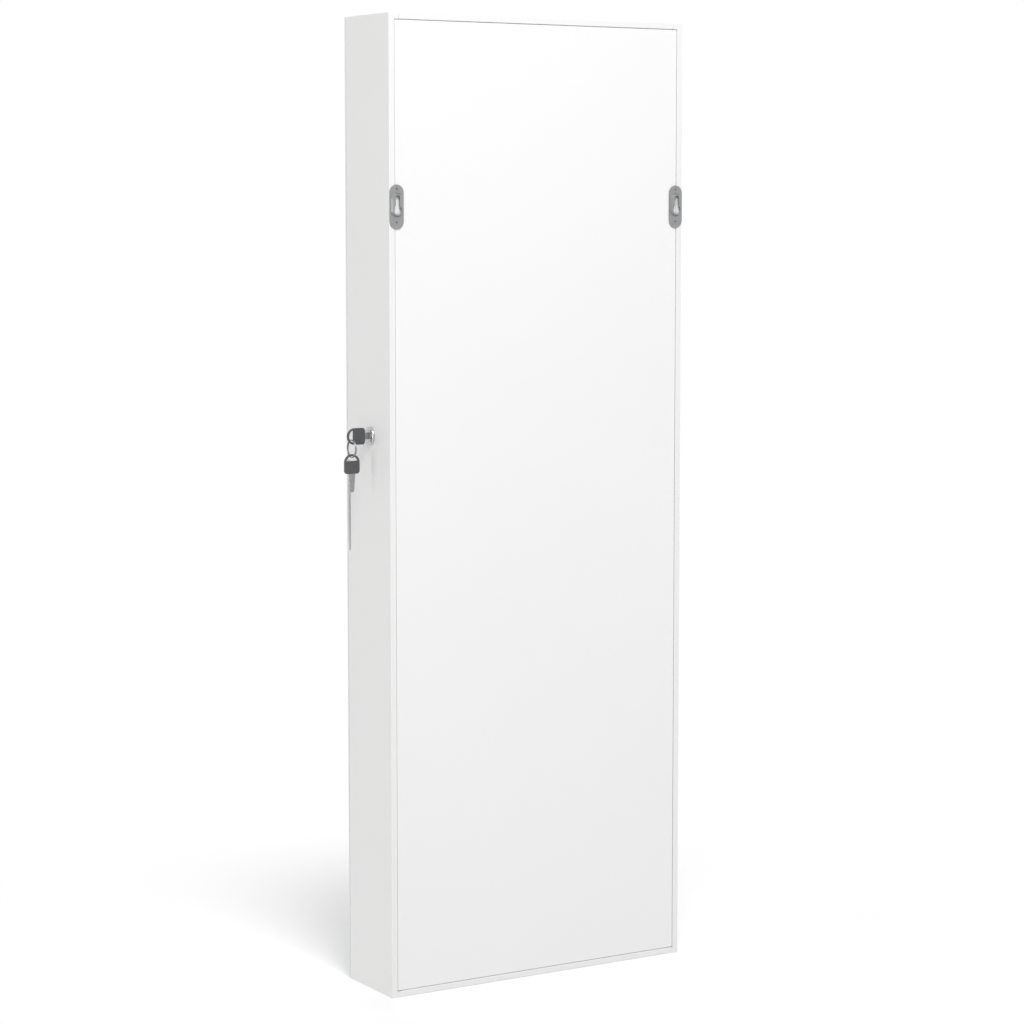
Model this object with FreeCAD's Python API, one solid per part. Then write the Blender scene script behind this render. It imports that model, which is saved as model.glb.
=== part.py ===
import FreeCAD, Part
import math
import os
from FreeCAD import Vector

# Wall-hung jewelry cabinet with a full-length mirror door, a cam lock and two keys.
# Frame: +Z up, -Y the mirror's side, +Y the wall, +X the side with the lock, -X the hinge side.
# The origin is the centre of the cabinet's bottom face. All sizes are in millimetres.

# Cabinet
overall_width = 375.0
overall_height = 1060.0
overall_depth = 100.0            # back edges of the boards to the mirror's face
board = 12.0                     # side, top and bottom boards, and the door's frame
rim_width = 6.8                  # board edge that shows round the back panel
back_panel_thickness = 3.0
back_panel_recess = 0.5          # how far the panel lies below the rim
back_panel_play = 0.6
lining_thickness = 1.5
lining_play = 0.3
dowel_diameter = 6.0
dowel_length = 24.0
small_sides = 6                  # flats round a screw, dowel or other small repeated piece
round_sides = 12                 # flats round a hinge knuckle, keeper or ring roll
arch_sides = 24                  # flats round the hanger plates' raised ends and the split ring
cut_room = 1.0                   # how far a cut reaches past the face that it opens
same_place = 0.001

# Shelves, from the bottom up
shelf_board = 9.0
shelf_depth = 65.0
shelf_housing = 3.0              # how deep a shelf's ends sit in the side boards
bottle_bay_height = 138.0
box_bay_height = 103.0
bracelet_bay_height = 129.0
top_bay_height = 134.0
lip_height = 26.0
lip_thickness = 5.0
lip_drop = 4.0                   # how far a lip covers its shelf's front edge

# Mirror door
mirror_thickness = 3.0
mirror_bevel = 1.0
stile_width = 30.0
door_side_gap = 1.5
door_end_gap = 1.5
backing_thickness = 3.0
backing_rebate = 8.0
backing_play = 0.2
door_lining_thickness = 1.0
bumper_head_height = 0.5
bumper_head_diameter = 7.0
bumper_shank_diameter = 4.0
bumper_shank_length = 6.0
bumper_inset = 30.0              # bumper centres from the cabinet's ends
running_gap = 0.3                # between the door and what it passes or shuts against
mirror_hinge_gap = 1.0           # hinge knuckles to the mirror's edge

# Hinges
hinge_count = 3
hinge_end_distance = 120.0       # cabinet end to the outer hinges' middle
hinge_length = 50.0
leaf_thickness = 0.9
leaf_width = 12.0
leaf_play = 0.4                  # between the folded leaves
knuckle_diameter = 4.8
knuckle_count = 3
knuckle_gap = 0.3
hinge_pin_diameter = 2.4
hinge_pin_play = 0.05
hinge_screw_rise = 17.0          # hinge middle to each leaf's screws

# Finger notch in the lock side's front edge
notch_height = 530.0             # cabinet bottom to the notch's middle
notch_length = 100.0
notch_depth = 6.0
notch_corner_radius = 4.0

# Hanger plates
hanger_height = 856.0            # cabinet bottom to the plates' middle
hanger_width = 17.0
hanger_length = 47.0
hanger_sheet = 1.0
hanger_rise = 2.6                # room for a screw's head under the raised middle
hanger_slope = 1.5
hanger_boss_width = 11.6
hanger_boss_length = 23.0
hanger_boss_offset = 2.0
keyhole_entry_diameter = 9.5
keyhole_entry_drop = 3.2
keyhole_slot_width = 5.0
keyhole_slot_rise = 13.1         # entry's centre to the centre of the slot's end
hanger_screw_low = 16.5
hanger_screw_high = 19.0
hanger_screw_length = 12.0

# Wood screws
screw_head_diameter = 5.2
screw_shank_diameter = 2.8
door_screw_length = 9.0
fitting_screw_length = 12.0

# Lock
lock_height = 610.0
lock_from_back = 44.0
lock_head_diameter = 20.0
lock_head_height = 3.0
lock_head_chamfer = 1.2
barrel_diameter = 16.0
barrel_flats = 13.5
barrel_length = 20.0
barrel_hole_play = 0.2
nut_across_flats = 19.0
nut_thickness = 3.0
plug_diameter = 12.0
plug_play = 0.05
keyway_depth = 17.0
keyway_play = 0.2
tang_width = 7.0
cam_thickness = 2.5
cam_screw_head_diameter = 8.0
cam_screw_head_height = 2.4
cam_screw_head_chamfer = 1.0
cam_screw_diameter = 3.8
cam_screw_length = 5.5
cam_reach = 39.0                 # lock axis to the hook's tip
cam_lead = 7.0                   # arm's width on the side that enters first
cam_trail = 8.0
keeper_reach = 32.0              # lock axis to the keeper's pin
keeper_pin_diameter = 4.0
hook_play = 0.8
keeper_sheet = 1.5
keeper_opening = 12.0
keeper_length = 40.0
keeper_ear_radius = 4.5
keeper_screw_spread = 28.0
keeper_pin_head_height = 0.8
keeper_pin_head_diameter = 6.0

# Keys and ring
key_standoff = 7.3               # side board's face to the bow of the key in the lock
key_thickness = 1.8
key_blade_height = 7.3
key_tip_height = 5.0
key_blade_length = 20.0
key_tang_length = 8.0
key_tang_height = 5.6
key_cut_depth = 1.1
key_cut_width = 2.6
key_cut_count = 3
bow_length = 21.2
bow_height = 18.0
bow_thickness = 3.0
bow_rim = 2.0
bow_corner = 2.0
window_chord = 13.9              # bow's square end to the window's straight edge
ring_diameter = 20.0
ring_wire = 1.25
ring_width = 2.45                # both turns side by side
ring_chamfer = 0.3
ring_slit = 0.4
ring_station = 15.7              # bow's square end to the ring's plane
ring_pivot_drop = 6.95           # key's axis to the rim on which the ring hangs
ring_lift = 2.65                 # that rim's middle to the wire above it
spare_rest = 1.5                 # spare key's window edge to the ring wire's middle

# Magnetic catch
catch_below_shelf = 62.0         # upper shelf's underside to the catch's middle
catch_width = 14.0
catch_depth = 17.0
catch_length = 46.0
catch_core = 30.0
catch_ear = 4.0
pole_thickness = 1.5
pole_length = 24.0
pole_reach = 1.0                 # how far the poles stand out of the housing
magnet_thickness = 6.0
magnet_depth = 12.0
strike_thickness = 1.0
strike_width = 10.0
strike_length = 34.0
strike_screw_spread = 24.0

# Necklace hooks
hook_rail_height = 24.0
hook_rail_thickness = 12.0
hook_rail_drop = 9.0             # shelf above to the rail's top edge
hook_rail_length = 330.0
hook_rail_screws = 3
hook_screw_step = 4              # hooks from one screw to the next
hook_count = 10
hook_pitch = 31.0
hook_wire = 2.2
hook_bend_steps = 3
hook_shank = 8.0
hook_reach = 12.0
hook_bend = 4.0
hook_rise = 4.0
necklace_screw_length = 16.0

# Ring tray
tray_length = 300.0
tray_width = 92.0
tray_floor = 3.0
tray_wall = 3.0
tray_wall_height = 11.0
tray_tilt = 62.0                 # floor's slope from level
tray_back_gap = 0.5              # tray's upper edge to the back lining
tray_foot_thickness = 12.0
tray_foot_spread = 220.0
roll_count = 6
roll_gap = 0.8
roll_flat = 0.8
roll_end_play = 0.4

# Bracelet bar
bar_diameter = 22.0
bar_below_shelf = 40.0
bar_from_lining = 37.0
bar_play = 0.3
socket_diameter = 29.0
socket_depth = 9.0
socket_base = 3.0

# Fittings on the door's inner side
earring_rail_heights = (300.0, 400.0, 720.0)
rail_sheet = 1.5
rail_flange = 20.0
rail_reach = 10.0
rail_overlap = 12.0
rail_slot_width = 2.0
rail_slot_depth = 6.0
rail_slot_pitch = 16.0
pocket_height = 90.0
pocket_sheet = 3.0
pocket_reach = 19.0
pocket_wall = 38.0

# Planes and lines that the pieces share
half_width = overall_width / 2
back_y = overall_depth / 2
mirror_front_y = -overall_depth / 2
mirror_back_y = mirror_front_y + mirror_thickness
door_closing_gap = bumper_head_height + running_gap
carcass_front_y = mirror_back_y + door_closing_gap
inner_x = half_width - board
inner_top_z = overall_height - board
panel_rear_y = back_y - back_panel_recess
panel_front_y = panel_rear_y - back_panel_thickness
lining_front_y = panel_front_y - lining_thickness
shelf_front_y = lining_front_y - shelf_depth

hinge_gap = 2 * leaf_thickness + leaf_play
hinge_x = -inner_x + hinge_gap / 2
hinge_y = mirror_back_y - knuckle_diameter / 2 - running_gap
hinge_pitch = (overall_height - 2 * hinge_end_distance) / (hinge_count - 1)
hinge_heights = [hinge_end_distance + index * hinge_pitch for index in range(hinge_count)]

door_left_x = -inner_x + hinge_gap
door_right_x = inner_x - door_side_gap
door_bottom_z = board + door_end_gap
door_top_z = inner_top_z - door_end_gap
door_back_y = mirror_back_y + board
opening_left_x = door_left_x + stile_width
opening_right_x = door_right_x - stile_width
opening_bottom_z = door_bottom_z + stile_width
opening_top_z = door_top_z - stile_width
door_lining_back_y = mirror_back_y + backing_thickness + door_lining_thickness
mirror_left_x = hinge_x + knuckle_diameter / 2 + mirror_hinge_gap

lower_shelf_z = board + bottle_bay_height
middle_shelf_z = lower_shelf_z + shelf_board + box_bay_height
tray_shelf_z = middle_shelf_z + shelf_board + bracelet_bay_height
upper_shelf_z = inner_top_z - top_bay_height - shelf_board
shelf_levels = {"lower_shelf": lower_shelf_z, "middle_shelf": middle_shelf_z,
                "tray_shelf": tray_shelf_z, "upper_shelf": upper_shelf_z}

catch_height = upper_shelf_z - catch_below_shelf
tray_slope = math.radians(tray_tilt)
tray_high_y = lining_front_y - tray_back_gap
tray_low_y = tray_high_y - tray_width * math.cos(tray_slope)

lock_y = back_y - lock_from_back
plug_back_x = half_width - barrel_length - running_gap
cam_inner_x = plug_back_x - cam_thickness
cam_middle_x = plug_back_x - cam_thickness / 2
ring_x = half_width + key_standoff + ring_station
ring_pivot_z = lock_height - ring_pivot_drop
ring_radius = ring_diameter / 2 - ring_wire / 2
ring_z = ring_pivot_z + ring_lift + ring_wire / 2 - ring_radius
spare_pivot_z = ring_z - ring_radius
hanger_x = half_width - hanger_width / 2


def block(x_span, y_span, z_span):
    """Box between the low and high value on each axis."""
    corner = Vector(x_span[0], y_span[0], z_span[0])
    return Part.makeBox(x_span[1] - x_span[0], y_span[1] - y_span[0], z_span[1] - z_span[0], corner)


def placed(shape, point, direction):
    """The shape with its own +Z axis turned to the direction and its origin moved to the point."""
    turned = shape.copy()
    turn_to = FreeCAD.Rotation(Vector(0, 0, 1), Vector(*direction))
    turned.Placement = FreeCAD.Placement(Vector(*point), turn_to)
    return turned


def turned_solid(outline, point, direction):
    """Solid of revolution: the outline's points are (radius, distance along the direction)."""
    corners = [Vector(radius, 0, distance) for radius, distance in outline]
    face = Part.Face(Part.makePolygon(corners + corners[:1]))
    return placed(face.revolve(Vector(0, 0, 0), Vector(0, 0, 1), 360), point, direction)


def rod(point, direction, diameter, length):
    """Round bar that starts at the point."""
    return Part.makeCylinder(diameter / 2, length, Vector(*point), Vector(*direction))


def ring_corners(radius, point, direction, sides):
    """Corners of an equal-sided outline round the point, square to the direction."""
    turn_to = FreeCAD.Rotation(Vector(0, 0, 1), Vector(*direction))
    turns = [math.radians(360 * index / sides) for index in range(sides)]
    return [Vector(*point) + turn_to.multVec(Vector(radius * math.cos(turn), radius * math.sin(turn), 0))
            for turn in turns]


def flat_faced(rings):
    """Solid with flat faces from each ring of corners to the next, closed by the first and last ring."""
    outlines = [rings[0], rings[-1]]
    for low, high in zip(rings, rings[1:]):
        for index in range(len(low)):
            outlines.append([low[index - 1], low[index], high[index], high[index - 1]])
    faces = [Part.Face(Part.makePolygon(corners + corners[:1])) for corners in outlines]
    return Part.makeSolid(Part.makeShell(faces))


def flat_sided(outline, point, direction, sides=small_sides):
    """Turned form with few flat sides: the outline's points are (radius, distance along the direction)."""
    along = Vector(*direction)
    return flat_faced([ring_corners(radius, Vector(*point) + along * distance, direction, sides)
                       for radius, distance in outline])


def wood_screw(point, direction, length):
    """Countersunk screw whose head is flush at the point and whose shank lies along the direction."""
    head = screw_head_diameter / 2
    shank = screw_shank_diameter / 2
    return flat_sided([(head, 0), (shank, head - shank), (shank, length)], point, direction)


def stadium(width, length, middle_z, y):
    """Upright closed outline with round ends, in a plane across the Y axis."""
    radius = width / 2
    straight = length / 2 - radius
    low = middle_z - straight
    high = middle_z + straight
    return Part.Wire([
        Part.LineSegment(Vector(radius, y, low), Vector(radius, y, high)).toShape(),
        Part.Arc(Vector(radius, y, high), Vector(0, y, high + radius), Vector(-radius, y, high)).toShape(),
        Part.LineSegment(Vector(-radius, y, high), Vector(-radius, y, low)).toShape(),
        Part.Arc(Vector(-radius, y, low), Vector(0, y, low - radius), Vector(radius, y, low)).toShape()])


# Carcass fasteners: they come first, because the boards are cut to them

def carcass_dowels():
    """Two dowels through each corner of the carcass."""
    front = carcass_front_y + board
    rear = panel_front_y - board
    dowels = []
    for side in (-1, 1):
        for z in (board / 2, overall_height - board / 2):
            for y in (front, rear):
                start = side * (inner_x + board / 2 - dowel_length)
                outline = [(dowel_diameter / 2, 0), (dowel_diameter / 2, dowel_length)]
                dowels.append(flat_sided(outline, (start, y, z), (side, 0, 0)))
    return dowels


def hanger_screws():
    """Upper and lower screw of each hanger plate."""
    seat_y = back_y + hanger_sheet
    screws = []
    for side in (-1, 1):
        for z in (hanger_height - hanger_screw_low, hanger_height + hanger_screw_high):
            screws.append(wood_screw((side * hanger_x, seat_y, z), (0, -1, 0), hanger_screw_length))
    return screws


def hinge_screws(side_x, direction):
    """Two screws in each hinge leaf, driven from the gap between the leaves."""
    y = mirror_back_y + leaf_width / 2
    screws = []
    for z in hinge_heights:
        for rise in (-hinge_screw_rise, hinge_screw_rise):
            screws.append(wood_screw((side_x, y, z + rise), (direction, 0, 0), door_screw_length))
    return screws


def hinge_screws_carcass():
    return hinge_screws(-inner_x + leaf_thickness, -1)


def hinge_screws_door():
    return hinge_screws(door_left_x - leaf_thickness, 1)


def catch_front_y():
    """Front of the magnet's poles: a running gap behind the strike plate."""
    return door_back_y + strike_thickness + running_gap


def catch_screws():
    """Two screws through the housing's ears into the lock side."""
    y = catch_front_y() + pole_reach + catch_depth / 2
    reach = (catch_length + catch_core) / 4
    return [wood_screw((inner_x - catch_ear, y, catch_height + rise), (1, 0, 0), fitting_screw_length)
            for rise in (-reach, reach)]


def bar_place():
    """Middle height and distance from the front of the bracelet bar."""
    return lining_front_y - bar_from_lining, tray_shelf_z - bar_below_shelf


def socket_screws():
    """One screw through the floor of each of the bar's end sockets, behind the bar."""
    y, z = bar_place()
    return [wood_screw((side * (inner_x - socket_base), y, z), (side, 0, 0), fitting_screw_length)
            for side in (-1, 1)]


def bumper_seats():
    """Points on the carcass's front edges where the door's bumpers are pressed in."""
    edge_middle = inner_x + board / 2
    return [(edge_middle, bumper_inset), (edge_middle, overall_height - bumper_inset),
            (0.0, board / 2), (0.0, overall_height - board / 2)]


def front_bumpers():
    """Soft studs: a low tapered head on a shank that is pressed into the board."""
    head = bumper_head_diameter / 2
    shank = bumper_shank_diameter / 2
    bumpers = []
    for x, z in bumper_seats():
        seat = (x, carcass_front_y, z)
        stud = flat_sided([(head, 0), (head - bumper_head_height, bumper_head_height)], seat, (0, -1, 0))
        bumpers.append(stud.fuse(flat_sided([(shank, 0), (shank, bumper_shank_length)], seat, (0, 1, 0))))
    return bumpers


# Carcass boards

def back_rebate():
    """Space behind the boards that takes the back panel."""
    half = half_width - rim_width
    return block((-half, half), (panel_front_y, back_y + cut_room), (rim_width, overall_height - rim_width))


def side_board(side):
    """Full-height board with the back rebate and a housing for each shelf."""
    x_span = sorted((side * inner_x, side * half_width))
    shape = block(x_span, (carcass_front_y, back_y), (0, overall_height)).cut(back_rebate())
    reach = inner_x + shelf_housing
    for z in shelf_levels.values():
        housing = block((-reach, reach), (shelf_front_y, lining_front_y), (z, z + shelf_board))
        shape = shape.cut(housing)
    return shape.cut(Part.makeCompound(carcass_dowels() + hanger_screws() + socket_screws()))


def finger_notch():
    """Recess in the front edge with rounded ends, through the board's thickness."""
    low = notch_height - notch_length / 2
    high = notch_height + notch_length / 2
    floor_y = carcass_front_y + notch_depth
    radius = notch_corner_radius
    front = carcass_front_y - cut_room
    turn = radius * (1 - math.sqrt(0.5))
    corners = [
        Part.LineSegment(Vector(0, front, low), Vector(0, floor_y - radius, low)).toShape(),
        Part.Arc(Vector(0, floor_y - radius, low), Vector(0, floor_y - turn, low + turn),
                 Vector(0, floor_y, low + radius)).toShape(),
        Part.LineSegment(Vector(0, floor_y, low + radius), Vector(0, floor_y, high - radius)).toShape(),
        Part.Arc(Vector(0, floor_y, high - radius), Vector(0, floor_y - turn, high - turn),
                 Vector(0, floor_y - radius, high)).toShape(),
        Part.LineSegment(Vector(0, floor_y - radius, high), Vector(0, front, high)).toShape(),
        Part.LineSegment(Vector(0, front, high), Vector(0, front, low)).toShape()]
    outline = Part.Face(Part.Wire(corners))
    outline.translate(Vector(inner_x - cut_room, 0, 0))
    return outline.extrude(Vector(board + 2 * cut_room, 0, 0))


def barrel_core(diameter, flats, length):
    """Round body with two flats, from the side board's outer face inward."""
    round_body = rod((half_width, lock_y, lock_height), (-1, 0, 0), diameter, length)
    between = block((half_width - length, half_width), (lock_y - diameter, lock_y + diameter),
                    (lock_height - flats / 2, lock_height + flats / 2))
    return round_body.common(between)


def side_panel_lock():
    hole = barrel_core(barrel_diameter + 2 * barrel_hole_play, barrel_flats + 2 * barrel_hole_play, board)
    cuts = catch_screws() + front_bumpers()[:2]
    return side_board(1).cut(hole).cut(finger_notch()).cut(Part.makeCompound(cuts))


def side_panel_hinge():
    return side_board(-1).cut(Part.makeCompound(hinge_screws_carcass()))


def end_board(z_low, bumper):
    """Top or bottom board between the sides."""
    shape = block((-inner_x, inner_x), (carcass_front_y, back_y), (z_low, z_low + board))
    return shape.cut(back_rebate()).cut(Part.makeCompound(carcass_dowels() + [bumper]))


def bottom_panel():
    return end_board(0, front_bumpers()[2])


def top_panel():
    return end_board(inner_top_z, front_bumpers()[3])


def back_panel():
    half = half_width - rim_width - back_panel_play
    low = rim_width + back_panel_play
    shape = block((-half, half), (panel_front_y, panel_rear_y), (low, overall_height - low))
    return shape.cut(Part.makeCompound(hanger_screws() + necklace_rail_screws()))


def back_lining():
    half = inner_x - lining_play
    z_span = (board + lining_play, inner_top_z - lining_play)
    shape = block((-half, half), (lining_front_y, panel_front_y), z_span)
    return shape.cut(Part.makeCompound(necklace_rail_screws()))


def hanger_plate(side):
    """Stamped plate whose raised middle holds the keyhole, with a countersunk screw at each end."""
    outer_y = back_y + hanger_sheet + hanger_rise
    flat = Part.Face(stadium(hanger_width, hanger_length, hanger_height, back_y))
    flat = flat.extrude(Vector(0, hanger_sheet, 0))
    raised = hanger_boss(0, back_y + hanger_sheet, outer_y)
    hollow = hanger_boss(2 * hanger_sheet, back_y, outer_y - hanger_sheet)
    plate = flat.fuse(raised).cut(hollow).cut(keyhole())
    plate.translate(Vector(side * hanger_x, 0, 0))
    return plate.cut(Part.makeCompound(hanger_screws())).removeSplitter()


def hanger_boss(shrink, y_low, y_high):
    """Raised middle with sloping sides: a tapered round at each end and a tapered bar between them."""
    low = (hanger_boss_width - shrink) / 2 + hanger_slope
    high = (hanger_boss_width - shrink) / 2
    middle = hanger_height + hanger_boss_offset
    straight = (hanger_boss_length - hanger_boss_width) / 2
    corners = [Vector(-low, y_low, middle - straight), Vector(low, y_low, middle - straight),
               Vector(high, y_high, middle - straight), Vector(-high, y_high, middle - straight)]
    bar = Part.Face(Part.makePolygon(corners + corners[:1])).extrude(Vector(0, 0, 2 * straight))
    outline = [(low, 0), (high, y_high - y_low)]
    ends = [flat_sided(outline, (0, y_low, middle + side * straight), (0, 1, 0), arch_sides)
            for side in (-1, 1)]
    return bar.fuse(ends).removeSplitter()


def keyhole():
    """Round entry with a slot that rises from it."""
    depth = hanger_sheet + hanger_rise + 2 * cut_room
    low_y = back_y - cut_room
    entry_z = hanger_height - keyhole_entry_drop
    slot_end_z = entry_z + keyhole_slot_rise
    half = keyhole_slot_width / 2
    entry = rod((0, low_y, entry_z), (0, 1, 0), keyhole_entry_diameter, depth)
    slot = block((-half, half), (low_y, low_y + depth), (entry_z, slot_end_z))
    end = rod((0, low_y, slot_end_z), (0, 1, 0), keyhole_slot_width, depth)
    return entry.fuse([slot, end])


# Interior

def shelf(z):
    reach = inner_x + shelf_housing
    return block((-reach, reach), (shelf_front_y, lining_front_y), (z, z + shelf_board))


def shelf_lip(z_top, drop):
    """Strip along a shelf's front, from the drop below the shelf's top face upwards."""
    z_span = (z_top - drop, z_top + lip_height)
    return block((-inner_x, inner_x), (shelf_front_y - lip_thickness, shelf_front_y), z_span)


def bay_divider():
    """Upright board in the middle of the box bay."""
    half = shelf_board / 2
    return block((-half, half), (shelf_front_y + running_gap, lining_front_y),
                 (lower_shelf_z + shelf_board, middle_shelf_z))


def hook_rail_front():
    return lining_front_y - hook_rail_thickness


def hook_rail_middle():
    return upper_shelf_z - hook_rail_drop - hook_rail_height / 2


def necklace_rail_screws():
    """Screws midway between hooks, through the rail into the back lining and panel."""
    first = -hook_pitch * (hook_rail_screws - 1) * hook_screw_step / 2
    return [wood_screw((first + index * hook_screw_step * hook_pitch, hook_rail_front(), hook_rail_middle()),
                       (0, 1, 0), necklace_screw_length)
            for index in range(hook_rail_screws)]


def one_hook(x):
    """Wire hook: shank in the rail, straight reach, bend in equal steps and upturned end."""
    y = hook_rail_front()
    z = hook_rail_middle()
    bend_y = y - hook_reach
    stations = [(y + hook_shank, z, 0)]
    for step in range(hook_bend_steps + 1):
        turn = math.pi / 2 * step / hook_bend_steps
        stations.append((bend_y - hook_bend * math.sin(turn), z + hook_bend * (1 - math.cos(turn)), turn))
    stations.append((bend_y - hook_bend, z + hook_bend + hook_rise, math.pi / 2))
    rings = []
    for along_y, up_z, turn in stations:
        heading = (0, -math.cos(turn), math.sin(turn))
        rings.append(ring_corners(hook_wire / 2, (x, along_y, up_z), heading, small_sides))
    return flat_faced(rings)


def necklace_hooks():
    first = -hook_pitch * (hook_count - 1) / 2
    return [one_hook(first + index * hook_pitch) for index in range(hook_count)]


def necklace_rail():
    half = hook_rail_length / 2
    middle = hook_rail_middle()
    shape = block((-half, half), (hook_rail_front(), lining_front_y),
                  (middle - hook_rail_height / 2, middle + hook_rail_height / 2))
    return shape.cut(Part.makeCompound(necklace_hooks() + necklace_rail_screws()))


def tilted(shape):
    """A shape drawn flat, turned to the ring tray's slope and set on the tray shelf."""
    turned = shape.copy()
    turned.rotate(Vector(0, 0, 0), Vector(1, 0, 0), tray_tilt)
    turned.translate(Vector(0, tray_low_y, tray_shelf_z + shelf_board))
    return turned


def ring_tray():
    """Shallow open box, drawn flat and then tilted."""
    half = tray_length / 2
    height = tray_floor + tray_wall_height
    outer = block((-half, half), (0, tray_width), (0, height))
    inner = block((-half + tray_wall, half - tray_wall), (tray_wall, tray_width - tray_wall),
                  (tray_floor, height + cut_room))
    return tilted(outer.cut(inner))


def ring_rolls():
    """Padded rolls side by side on the tray's floor; rings are pushed between them."""
    room = tray_width - 2 * tray_wall
    pitch = room / roll_count
    radius = (pitch - roll_gap) / 2
    length = tray_length - 2 * tray_wall - 2 * roll_end_play
    rolls = []
    for index in range(roll_count):
        y = tray_wall + (index + 0.5) * pitch
        seat = (-length / 2, y, tray_floor + radius - roll_flat)
        roll = flat_sided([(radius, 0), (radius, length)], seat, (1, 0, 0), round_sides)
        below = block((-length, length), (y - pitch, y + pitch), (tray_floor - radius, tray_floor))
        rolls.append(tilted(roll.cut(below)))
    return rolls


def ring_tray_feet():
    """Two wedges between the tray's underside and its shelf."""
    low_z = tray_shelf_z + shelf_board
    high_z = low_z + tray_width * math.sin(tray_slope)
    feet = []
    for side in (-1, 1):
        x = side * tray_foot_spread / 2 - tray_foot_thickness / 2
        corners = [Vector(x, tray_low_y, low_z), Vector(x, tray_high_y, high_z),
                   Vector(x, tray_high_y, low_z)]
        face = Part.Face(Part.makePolygon(corners + corners[:1]))
        feet.append(face.extrude(Vector(tray_foot_thickness, 0, 0)))
    return feet


def bracelet_bar():
    y, z = bar_place()
    reach = inner_x - socket_base - bar_play
    return rod((-reach, y, z), (1, 0, 0), bar_diameter, 2 * reach)


def bar_sockets():
    """Cup at each end of the bar, whose well clears the bar by the play at the middle of its flats."""
    y, z = bar_place()
    bore = (bar_diameter / 2 + bar_play) / math.cos(math.pi / round_sides)
    rim = socket_diameter / 2
    height = socket_base + socket_depth
    sockets = []
    for side in (-1, 1):
        seat = (side * inner_x, y, z)
        cup = flat_sided([(rim, 0), (rim, height)], seat, (-side, 0, 0), round_sides)
        well = flat_sided([(bore, socket_base), (bore, height)], seat, (-side, 0, 0), round_sides)
        sockets.append(cup.cut(Part.makeCompound([well] + socket_screws())))
    return sockets


def catch_housing():
    """Moulded block with a screw ear at each end, hollowed for the magnet and its poles."""
    back = catch_front_y() + pole_reach
    y_span = (back, back + catch_depth)
    core = block((inner_x - catch_width, inner_x), y_span,
                 (catch_height - catch_core / 2, catch_height + catch_core / 2))
    ears = block((inner_x - catch_ear, inner_x), y_span,
                 (catch_height - catch_length / 2, catch_height + catch_length / 2))
    pieces = [catch_magnet()] + catch_poles() + catch_screws()
    return core.fuse(ears).cut(Part.makeCompound(pieces))


def catch_magnet():
    middle = inner_x - catch_width / 2
    front = catch_front_y() + pole_reach
    half = magnet_thickness / 2
    return block((middle - half, middle + half), (front, front + magnet_depth),
                 (catch_height - pole_length / 2, catch_height + pole_length / 2))


def catch_poles():
    """Steel plate on each face of the magnet."""
    middle = inner_x - catch_width / 2
    front = catch_front_y()
    poles = []
    for side in (-1, 1):
        near = middle + side * magnet_thickness / 2
        x_span = sorted((near, near + side * pole_thickness))
        poles.append(block(x_span, (front, front + pole_reach + magnet_depth),
                           (catch_height - pole_length / 2, catch_height + pole_length / 2)))
    return poles


# Hinges

def knuckle_spans(middle_z, first):
    """Height spans of every second knuckle, counted from the first."""
    pitch = hinge_length / knuckle_count
    low = middle_z - hinge_length / 2
    return [(low + index * pitch + knuckle_gap / 2, low + (index + 1) * pitch - knuckle_gap / 2)
            for index in range(first, knuckle_count, 2)]


def hinge_bar(diameter, low, high):
    """Upright bar with flat sides on the hinge's axis."""
    radius = diameter / 2
    return flat_sided([(radius, low), (radius, high)], (hinge_x, hinge_y, 0), (0, 0, 1), round_sides)


def hinge_pin(middle_z, diameter, length):
    """Upright round bar on the hinge's axis."""
    return rod((hinge_x, hinge_y, middle_z - length / 2), (0, 0, 1), diameter, length)


def hinge_leaf(middle_z, first, x_span, bore, screws):
    """Leaf with its own knuckles, open beside the other leaf's."""
    plate_y = (mirror_back_y, mirror_back_y + leaf_width)
    leaf = block(x_span, plate_y, (middle_z - hinge_length / 2, middle_z + hinge_length / 2))
    for low, high in knuckle_spans(middle_z, first):
        tab = block(x_span, (hinge_y, mirror_back_y), (low, high))
        leaf = leaf.fuse([tab, hinge_bar(knuckle_diameter, low, high)])
    return leaf.cut(bore).cut(Part.makeCompound(screws)).removeSplitter()


def hinge_leaves_carcass():
    """Fixed leaves, whose knuckles grip the pin."""
    x_span = (-inner_x, -inner_x + leaf_thickness)
    grip = hinge_pin_diameter / math.cos(math.pi / round_sides)
    leaves = []
    for z in hinge_heights:
        bore = hinge_bar(grip, z - hinge_length, z + hinge_length)
        leaves.append(hinge_leaf(z, 0, x_span, bore, hinge_screws_carcass()))
    return leaves


def hinge_leaves_door():
    """Moving leaves, whose knuckles turn on the pin."""
    x_span = (door_left_x - leaf_thickness, door_left_x)
    leaves = []
    for z in hinge_heights:
        bore = hinge_pin(z, hinge_pin_diameter + 2 * hinge_pin_play, hinge_length)
        leaves.append(hinge_leaf(z, 1, x_span, bore, hinge_screws_door()))
    return leaves


def hinge_pins():
    """Plain pin that ends flush with the outer knuckles."""
    return [hinge_pin(z, hinge_pin_diameter, hinge_length - knuckle_gap) for z in hinge_heights]


# Lock

def lock_barrel():
    """Barrel with a chamfered head outside the side board, bored for the plug."""
    head = lock_head_diameter / 2
    bore = plug_diameter / 2 + plug_play
    outline = [(bore, -barrel_length), (barrel_diameter / 2, -barrel_length), (barrel_diameter / 2, 0),
               (head, 0), (head, lock_head_height - lock_head_chamfer),
               (head - lock_head_chamfer, lock_head_height), (bore, lock_head_height)]
    barrel = turned_solid(outline, (half_width, lock_y, lock_height), (1, 0, 0))
    for side in (-1, 1):
        z_span = sorted((lock_height + side * barrel_flats / 2, lock_height + side * barrel_diameter))
        flat = block((half_width - barrel_length - cut_room, half_width),
                     (lock_y - barrel_diameter, lock_y + barrel_diameter), z_span)
        barrel = barrel.cut(flat)
    return barrel


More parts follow.
